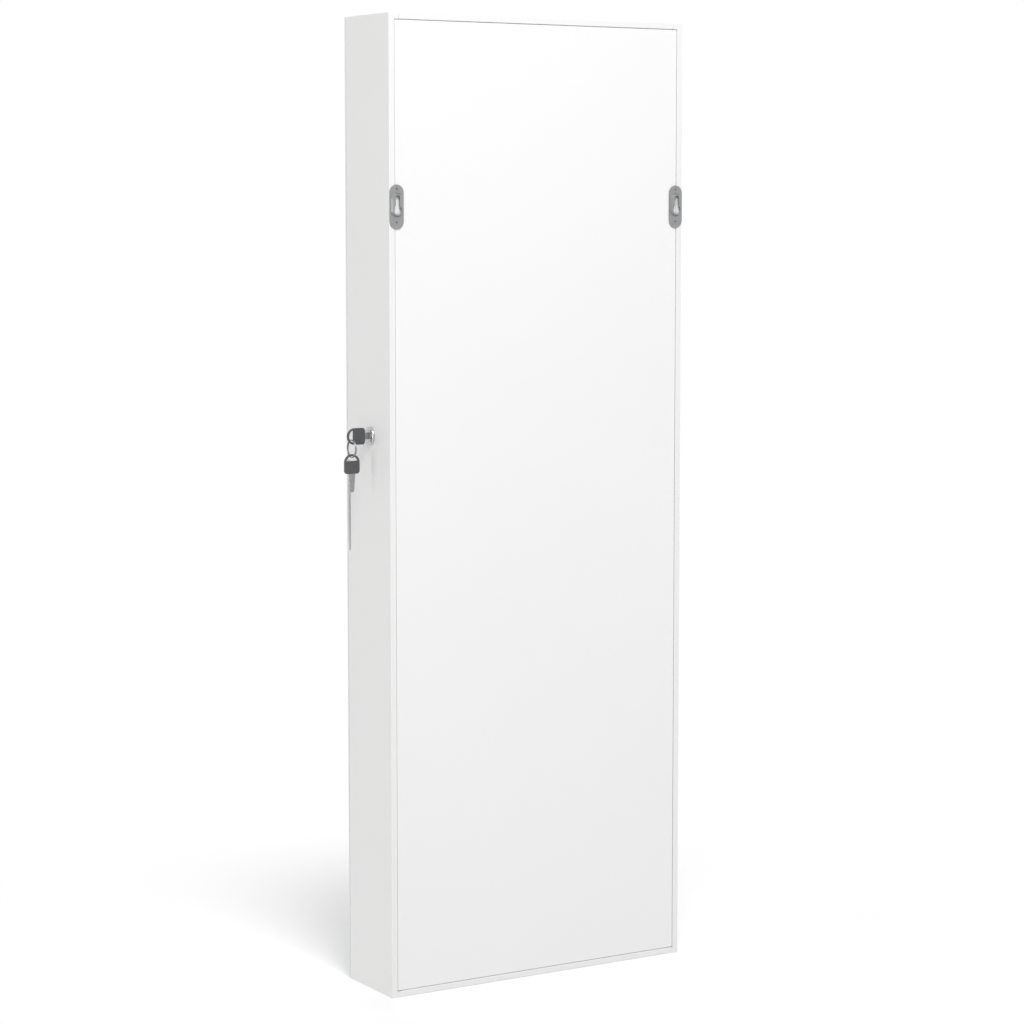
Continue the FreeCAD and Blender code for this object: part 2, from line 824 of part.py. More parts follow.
def lock_nut():
    """Hexagon nut that clamps the barrel against the side board's inner face."""
    radius = nut_across_flats / math.sqrt(3)
    corners = [Vector(inner_x, lock_y + radius * math.cos(math.radians(60 * index)),
                      lock_height + radius * math.sin(math.radians(60 * index))) for index in range(6)]
    nut = Part.Face(Part.makePolygon(corners + corners[:1])).extrude(Vector(-nut_thickness, 0, 0))
    start = (inner_x + cut_room, lock_y, lock_height)
    return nut.cut(rod(start, (-1, 0, 0), barrel_diameter, nut_thickness + 2 * cut_room))


def cam_screw():
    """Pan-head screw in the plug's end."""
    head = cam_screw_head_diameter / 2
    shank = cam_screw_diameter / 2
    seat = (cam_inner_x, lock_y, lock_height)
    outline = [(head, 0), (head, cam_screw_head_height - cam_screw_head_chamfer),
               (head - cam_screw_head_chamfer, cam_screw_head_height)]
    screw = flat_sided(outline, seat, (-1, 0, 0))
    return screw.fuse(flat_sided([(shank, 0), (shank, cam_screw_length)], seat, (1, 0, 0)))


def lock_plug():
    """Turning plug with its keyway, and a square tang for the cam."""
    face_x = half_width + lock_head_height
    body = rod((plug_back_x, lock_y, lock_height), (1, 0, 0), plug_diameter, face_x - plug_back_x)
    half = tang_width / 2
    tang = block((cam_inner_x, plug_back_x), (lock_y - half, lock_y + half),
                 (lock_height - half, lock_height + half))
    across = key_thickness / 2 + keyway_play
    upright = key_blade_height / 2 + keyway_play
    keyway = block((face_x - keyway_depth, face_x + cut_room), (lock_y - across, lock_y + across),
                   (lock_height - upright, lock_height + upright))
    return body.fuse(tang).cut(keyway).cut(cam_screw())


def lock_cam():
    """Hooked cam, hanging down when the lock is open; its hook closes round the keeper's pin."""
    x = cam_inner_x
    axis = (1, 0, 0)
    centre = (x, lock_y, lock_height)
    pin_room = keeper_pin_diameter / 2 + hook_play
    arm = block((x, plug_back_x), (lock_y - cam_lead, lock_y + cam_trail),
                (lock_height - cam_reach, lock_height))
    arm = arm.common(rod(centre, axis, 2 * cam_reach, cam_thickness))
    hub = rod(centre, axis, 2 * cam_trail, cam_thickness)
    groove = rod(centre, axis, 2 * (keeper_reach + pin_room), cam_thickness)
    groove = groove.cut(rod(centre, axis, 2 * (keeper_reach - pin_room), cam_thickness))
    mouth = block((x, plug_back_x), (lock_y - 2 * cam_lead, lock_y + pin_room),
                  (lock_height - 2 * cam_reach, lock_height))
    half = tang_width / 2
    square = block((x, plug_back_x), (lock_y - half, lock_y + half), (lock_height - half, lock_height + half))
    return arm.fuse(hub).cut(groove.common(mouth)).cut(square).removeSplitter()


# Keys, drawn lying along +X with the bow's square end at the origin and the blade on the -X side

def key_bow_flat():
    """Bow: square towards the blade, round at its end, with a D-shaped window."""
    radius = bow_height / 2
    centre_x = bow_length - radius
    half = bow_thickness / 2
    end = rod((centre_x, -half, 0), (0, 1, 0), bow_height, bow_thickness)
    body = block((0, centre_x), (-half, half), (-radius, radius))
    corners = [edge for edge in body.Edges
               if all(vertex.X < same_place for vertex in edge.Vertexes)
               and abs(edge.Vertexes[0].Z - edge.Vertexes[1].Z) < same_place]
    bow = body.makeChamfer(bow_corner, corners).fuse(end).removeSplitter()
    through = half + cut_room
    window = rod((centre_x, -through, 0), (0, 1, 0), bow_height - 2 * bow_rim, 2 * through)
    window = window.common(block((window_chord, bow_length), (-through, through), (-radius, radius)))
    return bow.cut(window).cut(key_blade_flat())


def key_blade_flat():
    """Blade with its cuts along one edge, and the tang that the bow is moulded round."""
    half = key_blade_height / 2
    tip = key_tip_height / 2
    nose = tip / 2
    first_cut = key_blade_length / (key_cut_count + 1)
    outline = [(key_tang_length, -key_tang_height / 2), (key_tang_length, key_tang_height / 2),
               (0, key_tang_height / 2), (0, half), (-key_blade_length + tip, tip), (-key_blade_length, nose),
               (-key_blade_length, -nose), (-key_blade_length + tip, -tip)]
    for index in range(key_cut_count, 0, -1):
        x = -first_cut * index
        edge = -half + (half - tip) * (-x) / (key_blade_length - tip)
        outline += [(x - key_cut_width / 2, edge), (x, edge + key_cut_depth), (x + key_cut_width / 2, edge)]
    outline += [(0, -half), (0, -key_tang_height / 2)]
    corners = [Vector(x, -key_thickness / 2, z) for x, z in outline]
    face = Part.Face(Part.makePolygon(corners + corners[:1]))
    return face.extrude(Vector(0, key_thickness, 0))


def key_in_lock(shape):
    placed_key = shape.copy()
    placed_key.translate(Vector(half_width + key_standoff, lock_y, lock_height))
    return placed_key


def key_on_ring(shape):
    """Spare key turned upright, its window's edge hung over the ring's lowest wire."""
    hanging = shape.copy()
    window_end = bow_length - bow_rim
    hanging.rotate(Vector(0, 0, 0), Vector(0, 1, 0), -90)
    hanging.translate(Vector(ring_x, lock_y, spare_pivot_z + spare_rest - window_end))
    return hanging


def split_ring():
    """Two turns of flattened wire side by side, slit where the wire ends."""
    centre = (ring_x, lock_y, ring_z)
    half = ring_width / 2
    outer = ring_radius + ring_wire / 2
    inner = ring_radius - ring_wire / 2
    rim = [(outer - ring_chamfer, -half), (outer, ring_chamfer - half), (outer, half - ring_chamfer),
           (outer - ring_chamfer, half)]
    hole = [(inner + ring_chamfer, -half), (inner, ring_chamfer - half), (inner, half - ring_chamfer),
            (inner + ring_chamfer, half)]
    ring = flat_sided(rim, centre, (1, 0, 0), arch_sides).cut(flat_sided(hole, centre, (1, 0, 0), arch_sides))
    slit = block((ring_x, ring_x + ring_width), (lock_y + inner - ring_wire, lock_y + outer + ring_wire),
                 (ring_z - ring_slit / 2, ring_z + ring_slit / 2))
    return ring.cut(slit)


# Door

def keeper_seat_y():
    return door_back_y + keeper_sheet


def keeper_screws():
    return [wood_screw((cam_middle_x, keeper_seat_y(), lock_height + rise), (0, -1, 0), door_screw_length)
            for rise in (-keeper_screw_spread / 2, keeper_screw_spread / 2)]


def keeper_pin():
    """Pin through both ears, with a head against the inner one."""
    reach = keeper_opening / 2 + keeper_sheet
    seat = (cam_middle_x - reach, lock_y - keeper_reach, lock_height)
    radius = keeper_pin_diameter / 2
    head = keeper_pin_head_diameter / 2
    pin = flat_sided([(radius, 0), (radius, 2 * reach)], seat, (1, 0, 0), round_sides)
    return pin.fuse(flat_sided([(head, 0), (head, keeper_pin_head_height)], seat, (-1, 0, 0), round_sides))


def lock_keeper():
    """Folded steel clip: a screwed base and two ears that carry the pin."""
    half = keeper_opening / 2
    outer = half + keeper_sheet
    base = block((cam_middle_x - outer, cam_middle_x + outer), (door_back_y, keeper_seat_y()),
                 (lock_height - keeper_length / 2, lock_height + keeper_length / 2))
    pin_y = lock_y - keeper_reach
    parts = []
    for start in (cam_middle_x - outer, cam_middle_x + half):
        stem = block((start, start + keeper_sheet), (door_back_y, pin_y),
                     (lock_height - keeper_ear_radius, lock_height + keeper_ear_radius))
        end = flat_sided([(keeper_ear_radius, 0), (keeper_ear_radius, keeper_sheet)],
                         (start, pin_y, lock_height), (1, 0, 0), round_sides)
        parts += [stem, end]
    return base.fuse(parts).cut(Part.makeCompound([keeper_pin()] + keeper_screws())).removeSplitter()


def strike_middle_x():
    return inner_x - catch_width / 2


def strike_screws():
    seat_y = door_back_y + strike_thickness
    return [wood_screw((strike_middle_x(), seat_y, catch_height + rise), (0, -1, 0), door_screw_length)
            for rise in (-strike_screw_spread / 2, strike_screw_spread / 2)]


def catch_strike():
    half = strike_width / 2
    middle = strike_middle_x()
    plate = block((middle - half, middle + half), (door_back_y, door_back_y + strike_thickness),
                  (catch_height - strike_length / 2, catch_height + strike_length / 2))
    return plate.cut(Part.makeCompound(strike_screws()))


def rail_screws():
    """One screw at each end of each earring rail."""
    inset = rail_overlap / 2
    screws = []
    for z in earring_rail_heights:
        for x in (opening_left_x - inset, opening_right_x + inset):
            seat = (x, door_back_y + rail_sheet, z + rail_flange / 2)
            screws.append(wood_screw(seat, (0, -1, 0), door_screw_length))
    return screws


def earring_rails():
    """Metal angles across the door's frame; earrings hang in the slots of the flange that stands out."""
    rails = []
    tip_y = door_back_y + rail_reach
    middle = (opening_left_x + opening_right_x) / 2
    slot_count = int((opening_right_x - opening_left_x) / rail_slot_pitch)
    for z in earring_rail_heights:
        web = block((opening_left_x - rail_overlap, opening_right_x + rail_overlap),
                    (door_back_y, door_back_y + rail_sheet), (z, z + rail_flange))
        flange = block((opening_left_x, opening_right_x), (door_back_y, tip_y), (z, z + rail_sheet))
        slots = []
        for index in range(slot_count):
            x = middle + (index - (slot_count - 1) / 2) * rail_slot_pitch
            slots.append(block((x - rail_slot_width / 2, x + rail_slot_width / 2),
                               (tip_y - rail_slot_depth, tip_y + cut_room),
                               (z - cut_room, z + rail_sheet + cut_room)))
        rail = web.fuse(flange).cut(Part.makeCompound(slots + rail_screws()))
        rails.append(rail.removeSplitter())
    return rails


def door_frame_cuts():
    """What the door's frame is cut to: screws, and the rebate that takes the backing board."""
    rebate = block((opening_left_x - backing_rebate, opening_right_x + backing_rebate),
                   (mirror_back_y - cut_room, mirror_back_y + backing_thickness),
                   (opening_bottom_z - backing_rebate, opening_top_z + backing_rebate))
    return [rebate] + hinge_screws_door() + keeper_screws() + strike_screws() + rail_screws()


def door_stile(x_span):
    """Upright of the door's frame, halved at its ends for the rails."""
    y_span = (mirror_back_y, door_back_y)
    stile = block(x_span, y_span, (door_bottom_z, door_top_z))
    middle_y = (mirror_back_y + door_back_y) / 2
    for z_span in ((door_bottom_z, opening_bottom_z), (opening_top_z, door_top_z)):
        stile = stile.cut(block(x_span, (mirror_back_y, middle_y), z_span))
    return stile.cut(Part.makeCompound(door_frame_cuts()))


def door_rail(z_span):
    """Cross member of the door's frame, halved over the stiles."""
    middle_y = (mirror_back_y + door_back_y) / 2
    front = block((door_left_x, door_right_x), (mirror_back_y, middle_y), z_span)
    rear = block((opening_left_x, opening_right_x), (middle_y, door_back_y), z_span)
    return front.fuse(rear).cut(Part.makeCompound(door_frame_cuts())).removeSplitter()


def door_backing():
    grow = backing_rebate - backing_play
    return block((opening_left_x - grow, opening_right_x + grow),
                 (mirror_back_y, mirror_back_y + backing_thickness),
                 (opening_bottom_z - grow, opening_top_z + grow))


def door_lining():
    return block((opening_left_x + backing_play, opening_right_x - backing_play),
                 (mirror_back_y + backing_thickness, door_lining_back_y),
                 (opening_bottom_z + backing_play, opening_top_z - backing_play))


def mirror():
    """Plate of silvered glass over the whole front but the hinge strip, bevelled round its face."""
    glass = block((mirror_left_x, half_width), (mirror_front_y, mirror_back_y), (0, overall_height))
    face_edges = [edge for edge in glass.Edges
                  if all(abs(vertex.Y - mirror_front_y) < same_place for vertex in edge.Vertexes)]
    return glass.makeChamfer(mirror_bevel, face_edges)


def door_pocket():
    """Open trough between the stiles, low on the door's inner side."""
    y_span = (door_lining_back_y, door_lining_back_y + pocket_reach)
    z_span = (pocket_height, pocket_height + pocket_wall)
    outer = block((opening_left_x, opening_right_x), y_span, z_span)
    inner = block((opening_left_x + pocket_sheet, opening_right_x - pocket_sheet),
                  (y_span[0] - cut_room, y_span[1] - pocket_sheet),
                  (z_span[0] + pocket_sheet, z_span[1] + cut_room))
    return outer.cut(inner)


def write(name, pieces):
    """One STEP file per node; identical pieces share a node as separate solids."""
    solids = pieces if isinstance(pieces, list) else [pieces]
    shape = Part.makeCompound([solid for piece in solids for solid in piece.Solids])
    shape.exportStep("parts/" + name + ".step")


os.makedirs("parts", exist_ok=True)

write("side_panel_lock", side_panel_lock())
write("side_panel_hinge", side_panel_hinge())
write("top_panel", top_panel())
write("bottom_panel", bottom_panel())
write("back_panel", back_panel())
write("back_lining", back_lining())
write("carcass_dowels", carcass_dowels())
write("hanger_plates", [hanger_plate(1), hanger_plate(-1)])
write("hanger_screws", hanger_screws())
write("front_bumpers", front_bumpers())

for name, z in shelf_levels.items():
    write(name, shelf(z))
write("bottom_lip", shelf_lip(board, 0))
write("lower_shelf_lip", shelf_lip(lower_shelf_z + shelf_board, lip_drop))
write("upper_shelf_lip", shelf_lip(upper_shelf_z + shelf_board, lip_drop))
write("bay_divider", bay_divider())
write("necklace_rail", necklace_rail())
write("necklace_hooks", necklace_hooks())
write("necklace_rail_screws", necklace_rail_screws())
write("ring_tray", ring_tray())
write("ring_rolls", ring_rolls())
write("ring_tray_feet", ring_tray_feet())
write("bracelet_bar", bracelet_bar())
write("bar_sockets", bar_sockets())
write("catch_housing", catch_housing())
write("catch_magnet", catch_magnet())
write("catch_poles", catch_poles())
write("fitting_screws", socket_screws() + catch_screws())

write("hinge_leaves_carcass", hinge_leaves_carcass())
write("hinge_leaves_door", hinge_leaves_door())
write("hinge_pins", hinge_pins())
write("hinge_screws_carcass", hinge_screws_carcass())

write("lock_barrel", lock_barrel())
write("lock_nut", lock_nut())
write("lock_plug", lock_plug())
write("lock_cam", lock_cam())
write("cam_screw", cam_screw())
write("key_blade", key_in_lock(key_blade_flat()))
write("key_bow", key_in_lock(key_bow_flat()))
write("split_ring", split_ring())
write("spare_key_blade", key_on_ring(key_blade_flat()))
write("spare_key_bow", key_on_ring(key_bow_flat()))

write("door_stile_lock", door_stile((opening_right_x, door_right_x)))
write("door_stile_hinge", door_stile((door_left_x, opening_left_x)))
write("door_rail_top", door_rail((opening_top_z, door_top_z)))
write("door_rail_bottom", door_rail((door_bottom_z, opening_bottom_z)))
write("door_backing", door_backing())
write("door_lining", door_lining())
write("mirror", mirror())
write("door_pocket", door_pocket())
write("earring_rails", earring_rails())
write("lock_keeper", lock_keeper())
write("keeper_pin", keeper_pin())
write("catch_strike", catch_strike())
write("door_screws", hinge_screws_door() + keeper_screws() + strike_screws() + rail_screws())
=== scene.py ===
import math
import bmesh
import bpy
from mathutils import Matrix, Vector


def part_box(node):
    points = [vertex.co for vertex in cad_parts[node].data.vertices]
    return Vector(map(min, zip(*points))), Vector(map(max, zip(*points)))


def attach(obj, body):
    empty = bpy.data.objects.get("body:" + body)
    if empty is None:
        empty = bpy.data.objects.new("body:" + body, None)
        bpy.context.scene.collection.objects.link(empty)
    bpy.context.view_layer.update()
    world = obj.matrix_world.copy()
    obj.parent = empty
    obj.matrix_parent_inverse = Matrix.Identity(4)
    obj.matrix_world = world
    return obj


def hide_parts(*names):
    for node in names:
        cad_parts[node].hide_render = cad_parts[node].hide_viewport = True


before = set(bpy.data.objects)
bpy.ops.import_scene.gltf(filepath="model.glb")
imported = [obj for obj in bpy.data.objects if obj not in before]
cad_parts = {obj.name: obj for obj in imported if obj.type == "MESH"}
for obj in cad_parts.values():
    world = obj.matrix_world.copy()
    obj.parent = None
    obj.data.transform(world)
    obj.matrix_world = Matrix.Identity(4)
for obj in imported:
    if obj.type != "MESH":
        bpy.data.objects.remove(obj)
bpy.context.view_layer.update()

scene = bpy.context.scene
scene.view_settings.view_transform = "Standard"
mm = 0.001


# Camera
# It stands behind the cabinet on the lock's side, a little below the top, and looks slightly down.

view_turn = 0.54611
view_dip = 0.09318
camera_place = (1.6558, 2.7159, 0.8594)
lens_pixels = 2861.93            # focal length in pixels of a square picture of this width
picture_width = 1024
level = Vector((-math.sin(view_turn), -math.cos(view_turn), 0))
right = Vector((-math.cos(view_turn), math.sin(view_turn), 0))
ahead = level * math.cos(view_dip) - Vector((0, 0, math.sin(view_dip)))
upward = level * math.sin(view_dip) + Vector((0, 0, math.cos(view_dip)))
lens = bpy.data.cameras.new("camera")
lens.sensor_width = 36.0
lens.lens = lens_pixels / picture_width * lens.sensor_width
lens.shift_y = -0.04
lens.clip_start = 0.01
camera = bpy.data.objects.new("camera", lens)
turn = Matrix((right, upward, -ahead)).transposed().to_4x4()
camera.matrix_world = Matrix.Translation(camera_place) @ turn
scene.collection.objects.link(camera)
scene.camera = camera


# Studio
# White surroundings, a plain white floor that keeps the shadow, and three soft lamps: a high one
# behind the cabinet, which leaves the foot of its back a little darker, one at the lock's side and
# one in front.

class Socket:
    """One output of a node tree: arithmetic on it adds Math nodes, node() adds any other node."""

    def __init__(self, tree, output=None):
        self.tree = tree
        self.output = output

    def node(self, kind, settings=None, sockets=None, output=0):
        new = self.tree.nodes.new("ShaderNode" + kind)
        for name, value in (settings or {}).items():
            setattr(new, name, value)
        for key, value in (sockets or {}).items():
            if isinstance(value, Socket):
                self.tree.links.new(value.output, new.inputs[key])
            else:
                new.inputs[key].default_value = value
        return Socket(self.tree, new.outputs[output])

    def maths(self, operation, first, second):
        return self.node("Math", {"operation": operation}, {0: first, 1: second})

    def __add__(self, other):
        return self.maths("ADD", self, other)

    def __sub__(self, other):
        return self.maths("SUBTRACT", self, other)

    def __mul__(self, other):
        return self.maths("MULTIPLY", self, other)

    def least(self, other):
        return self.maths("MINIMUM", self, other)

    def most(self, other):
        return self.maths("MAXIMUM", self, other)


def seen_plainly(tree):
    """1 for the rays that show the surroundings to the camera, in gloss or through glass."""
    start = Socket(tree)
    paths = [start.node("LightPath", output=name)
             for name in ("Is Camera Ray", "Is Glossy Ray", "Is Transmission Ray")]
    return paths[0].most(paths[1]).most(paths[2])


world = bpy.data.worlds.new("surroundings")
scene.world = world
world.use_nodes = True
sky = world.node_tree.nodes["Background"]
sky.inputs["Color"].default_value = (1, 1, 1, 1)
surround_level = 0.53            # light that the surroundings give; to the eye they are plain white
strength = seen_plainly(world.node_tree) * (1 - surround_level) + surround_level
world.node_tree.links.new(strength.output, sky.inputs["Strength"])

floor_radius = 12.0
fade_start = 0.25                # distances at which the floor begins and ends to turn into white
fade_end = 0.75
floor_shape = bmesh.new()
bmesh.ops.create_circle(floor_shape, cap_ends=True, segments=96, radius=floor_radius)
floor_mesh = bpy.data.meshes.new("floor")
floor_shape.to_mesh(floor_mesh)
floor_shape.free()
floor = bpy.data.objects.new("floor", floor_mesh)
scene.collection.objects.link(floor)
floor_paint = bpy.data.materials.new("floor_paint")
floor_paint.use_nodes = True
floor_tree = floor_paint.node_tree
floor_tree.nodes.remove(floor_tree.nodes["Principled BSDF"])
start = Socket(floor_tree)
spot = start.node("TexCoord", output="Object")
away = start.node("VectorMath", {"operation": "LENGTH"}, {0: spot}, "Value")
fade = start.node("MapRange", {"interpolation_type": "SMOOTHSTEP"},
                  {"Value": away, "From Min": fade_start, "From Max": fade_end,
                   "To Min": 0.0, "To Max": 1.0})
speck = start.node("TexNoise", {}, {"Vector": spot, "Scale": 60.0})
shade = speck * 0.02 + 0.66 + seen_plainly(floor_tree) * 0.31
tone = start.node("CombineColor", {}, {0: shade, 1: shade, 2: shade})
matt = start.node("BsdfDiffuse", {}, {"Color": tone})
glow = start.node("Emission", {}, {"Color": (1, 1, 1, 1), "Strength": 1.0})
both = start.node("MixShader", {}, {0: fade * seen_plainly(floor_tree), 1: matt, 2: glow})
floor_tree.links.new(both.output, floor_tree.nodes["Material Output"].inputs["Surface"])
floor.data.materials.append(floor_paint)

for name, place, aim, size, power, glints in (
        ("high_lamp", (0.8, 2.3, 3.0), (0.0, 0.0, 0.8), 1.6, 76.0, True),
        ("side_lamp", (3.2, -0.6, 0.4), (0.0, 0.0, 0.5), 1.4, 18.0, True),
        ("front_lamp", (-1.4, -2.6, 1.9), (0.0, 0.0, 0.6), 2.2, 30.0, False)):
    lamp = bpy.data.lights.new(name, "AREA")
    lamp.shape = "DISK"
    lamp.size = size
    lamp.energy = power
    holder = bpy.data.objects.new(name, lamp)
    holder.visible_glossy = glints
    heading = (Vector(aim) - Vector(place)).to_track_quat("-Z", "Y")
    holder.matrix_world = Matrix.Translation(place) @ heading.to_matrix().to_4x4()
    scene.collection.objects.link(holder)


# Carcass boards
# Fibreboard wrapped in satin white laminate, with narrowly rounded edges. The sides run full
# height, the ends sit between them, and the back edges are rebated round the back panel.

class Finish:
    """A finish of the record: plain values sit on its shader and varying ones are fed to it."""

    def __init__(self, slot, values, name=None):
        self.slot = slot
        self.material = bpy.data.materials.new(name or slot)
        self.material.use_nodes = True
        self.shader = self.material.node_tree.nodes["Principled BSDF"]
        for socket, value in values.items():
            self.shader.inputs[socket].default_value = value
        self.place = Socket(self.material.node_tree).node("TexCoord", output="Object")

    @property
    def rim(self):
        """1 on rounded edges, 0 elsewhere. Finishes that lighten their colour with it paint a
        highlight on those edges.
        """
        return self.place.node("Attribute", {"attribute_name": "rim"}, output="Fac")

    def grain(self, scale, detail=2.0, stretch=(1, 1, 1)):
        where = self.place.node("Mapping", {}, {"Vector": self.place, "Scale": stretch})
        return self.place.node("TexNoise", {}, {"Vector": where, "Scale": scale, "Detail": detail})

    def between(self, low, high, share):
        ends = {6: (*low, 1), 7: (*high, 1)}
        return self.place.node("Mix", {"data_type": "RGBA"}, {0: share, **ends}, 2)

    def feed(self, socket, value):
        self.material.node_tree.links.new(value.output, self.shader.inputs[socket])

    def relief(self, height, distance, strength=1.0):
        sockets = {"Height": height, "Distance": distance, "Strength": strength}
        self.feed("Normal", self.place.node("Bump", {}, sockets, "Normal"))

    def coat(self, *nodes):
        for node in nodes:
            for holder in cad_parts[node].material_slots:
                holder.material = self.material


laminate = Finish("white_board", {"Specular IOR Level": 0.4})
cloud = laminate.grain(9.0, 3.0)
peel = laminate.grain(850.0, 2.0)
# Colour: random clouding, and the rounded edges painted lighter as a painted highlight; they are
# also less rough.
laminate.feed("Base Color", laminate.between((0.855, 0.855, 0.85), (0.885, 0.885, 0.88),
                                             (cloud * 0.7 + laminate.rim * 0.6).least(1.0)))
laminate.feed("Roughness", cloud * 0.12 + peel * 0.08 + 0.34 - laminate.rim * 0.1)
laminate.relief(peel * 0.8 + laminate.grain(140.0) * 0.4, 0.00006)


def merged(node):
    """Copy of a CAD node with its loose triangles joined, in fours where they share a flat face."""
    shape = bmesh.new()
    shape.from_mesh(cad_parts[node].data)
    bmesh.ops.remove_doubles(shape, verts=shape.verts, dist=1e-6)
    bmesh.ops.join_triangles(shape, faces=shape.faces, angle_face_threshold=math.radians(0.5),
                             angle_shape_threshold=math.pi)
    return shape


def ease(shape, width, shortest=0.0, segments=2, sharper_than=32, always=(0.0, 0.0)):
    """Rounds the sharp edges and marks them, so that their finish can differ. Edges no longer than
    shortest stay, but between the two heights of always every sharp edge is rounded."""
    rim = shape.faces.layers.float.new("rim")
    edges = [edge for edge in shape.edges
             if edge.is_manifold
             and (edge.calc_length() > shortest or always[0] < edge.verts[0].co.z < always[1])
             and edge.calc_face_angle() > math.radians(sharper_than)]
    rounded = bmesh.ops.bevel(shape, geom=edges, offset=width, offset_type="OFFSET",
                              segments=segments, profile=0.5, affect="EDGES", material=-1,
                              clamp_overlap=True, face_strength_mode="ALL")
    for face in rounded["faces"]:
        face.normal_update()
        slanting = max(abs(part) for part in face.normal) < 0.99
        face[rim] = float(slanting)


def made(shape, name, body, finish, *stands_for):
    """The finished piece: smooth but for its sharp edges, riding on its body in its nodes' place.
    Flat faces look flat, because shading follows them and not the rounding beside them."""
    mesh = bpy.data.meshes.new(name)
    many_sided = [face for face in shape.faces if len(face.verts) > 4]
    bmesh.ops.triangulate(shape, faces=many_sided, quad_method="BEAUTY", ngon_method="BEAUTY")
    shape.to_mesh(mesh)
    shape.free()
    mesh.shade_smooth()
    mesh.set_sharp_from_angle(angle=math.radians(38))
    mesh.materials.append(finish.material)
    piece = bpy.data.objects.new(name, mesh)
    scene.collection.objects.link(piece)
    shading = piece.modifiers.new("shading", "WEIGHTED_NORMAL")
    shading.weight = 100
    shading.keep_sharp = True
    shading.use_face_influence = True
    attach(piece, body)
    if stands_for:
        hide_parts(*stands_for)
    return piece


def eased(node, body, finish, width, shortest=0.0, segments=2, always=(0.0, 0.0)):
    shape = merged(node)
    ease(shape, width, shortest, segments, always=always)
    return made(shape, node + "_eased", body, finish, node)


board_rounding = 0.6 * mm
screw_holes = 5 * mm             # edges shorter than this are those of screw and dowel holes
notch_span = (478 * mm, 582 * mm)    # heights that take in the finger notch and its short edges
for board in ("side_panel_lock", "side_panel_hinge", "top_panel", "bottom_panel"):
    eased(board, "carcass", laminate, board_rounding, screw_holes, always=notch_span)


# Back panel
# Thin white-faced board, laid into the rebate with a narrow gap all round. Its paint film is
# smoother than the laminate and lets the fibres below show faintly.

paint_film = Finish("white_back", {"Specular IOR Level": 0.35})
haze = paint_film.grain(4.0, 3.0)
fibre = paint_film.grain(320.0, 3.0, (1, 1, 0.5))
paint_film.feed("Base Color", paint_film.between((0.885, 0.885, 0.885), (0.91, 0.91, 0.91), haze))
paint_film.feed("Roughness", fibre * 0.1 + haze * 0.1 + 0.36)
paint_film.relief(fibre, 0.00003)
eased("back_panel", "carcass", paint_film, 0.25 * mm, screw_holes)
paint_film.coat("door_backing")


# Linings
# Short grey felt glued on thin board: one sheet behind the shelves and one inside the door.

felt = Finish("felt", {"Roughness": 0.95, "Sheen Weight": 0.35, "Sheen Roughness": 0.6})
nap = felt.grain(1500.0, 3.0)
tuft = felt.grain(260.0, 4.0)
felt.feed("Base Color", felt.between((0.23, 0.225, 0.215), (0.36, 0.35, 0.335),
                                     (nap * 0.6 + tuft * 0.5).least(1.0)))
felt.relief(nap * 0.6 + tuft, 0.0003, 0.7)
felt.coat("back_lining", "door_lining")


# Dowels
# Fluted beech pegs, glued through the corner joints and hidden inside them.

beech = Finish("dowel_wood", {"Roughness": 0.7})
streak = beech.grain(900.0, 3.0, (0.08, 1, 1))
beech.feed("Base Color", beech.between((0.62, 0.46, 0.29), (0.78, 0.62, 0.43), streak))
beech.relief(streak, 0.00008)
beech.coat("carcass_dowels")


# Hanger plates
# Stamped zinc-plated steel, one high on each side's back edge, with a raised keyhole in the middle.

zinc = Finish("hanger_steel", {"Metallic": 1.0})
brush = zinc.grain(1100.0, 2.0, (1, 1, 0.06))
bloom = zinc.grain(120.0, 3.0)
# Colour: random bloom and brushing, and rounded edges lighter, partly as rubbed wear and partly as
# a painted highlight.
zinc.feed("Base Color", zinc.between((0.27, 0.275, 0.28), (0.4, 0.405, 0.41),
                                     (bloom * 0.6 + brush * 0.3 + zinc.rim * 0.5).least(1.0)))
zinc.feed("Roughness", brush * 0.15 + bloom * 0.15 + 0.33 - zinc.rim * 0.12)
zinc.relief(brush, 0.00003)
eased("hanger_plates", "carcass", zinc, 0.3 * mm, 0.0, 3)


# Screws
# Steel screws with a flush countersunk head and a cross recess: in the hanger plates, the hinges,
# the necklace rail, the bar's sockets, the catch and what is screwed to the door.

screw_head = 2.6                 # radii of head and shank, in millimetres
screw_shank = 1.4
screw_rim = 0.15                 # chamfer round the head
screw_point = 2.0                # length of the point
recess_half = 0.38 * mm
recess_reach = 1.35 * mm
recess_depth = 0.8 * mm


def turned(outline, steps=28):
    """Form spun round +Z from its outline of (radius, height) in millimetres."""
    shape = bmesh.new()
    points = [shape.verts.new((radius * mm, 0, height * mm)) for radius, height in outline]
    edges = [shape.edges.new(pair) for pair in zip(points, points[1:])]
    bmesh.ops.spin(shape, geom=points + edges, axis=(0, 0, 1), cent=(0, 0, 0), dvec=(0, 0, 0),
                   angle=2 * math.pi, steps=steps, use_merge=True, use_duplicate=False)
    bmesh.ops.remove_doubles(shape, verts=shape.verts, dist=1e-7)
    bmesh.ops.recalc_face_normals(shape, faces=shape.faces)
    return shape


def placed(shape, point, direction):
    """The form with its +Z axis along the direction and its origin at the point, in millimetres."""
    turn_to = Vector((0, 0, 1)).rotation_difference(Vector(direction)).to_matrix().to_4x4()
    where = Matrix.Translation(Vector(point) * mm) @ turn_to
    bmesh.ops.transform(shape, matrix=where, verts=shape.verts)
    return shape


def joined(parts):
    whole = bmesh.new()
    for part in parts:
        loose = bpy.data.meshes.new("part")
        part.to_mesh(loose)
        part.free()
        whole.from_mesh(loose)
        bpy.data.meshes.remove(loose)
    return whole


def with_edges(faces):
    return list({part for face in faces for part in (*face.verts, *face.edges)}) + faces


def open_edges(shape):
    return [edge for edge in shape.edges if edge.is_boundary]


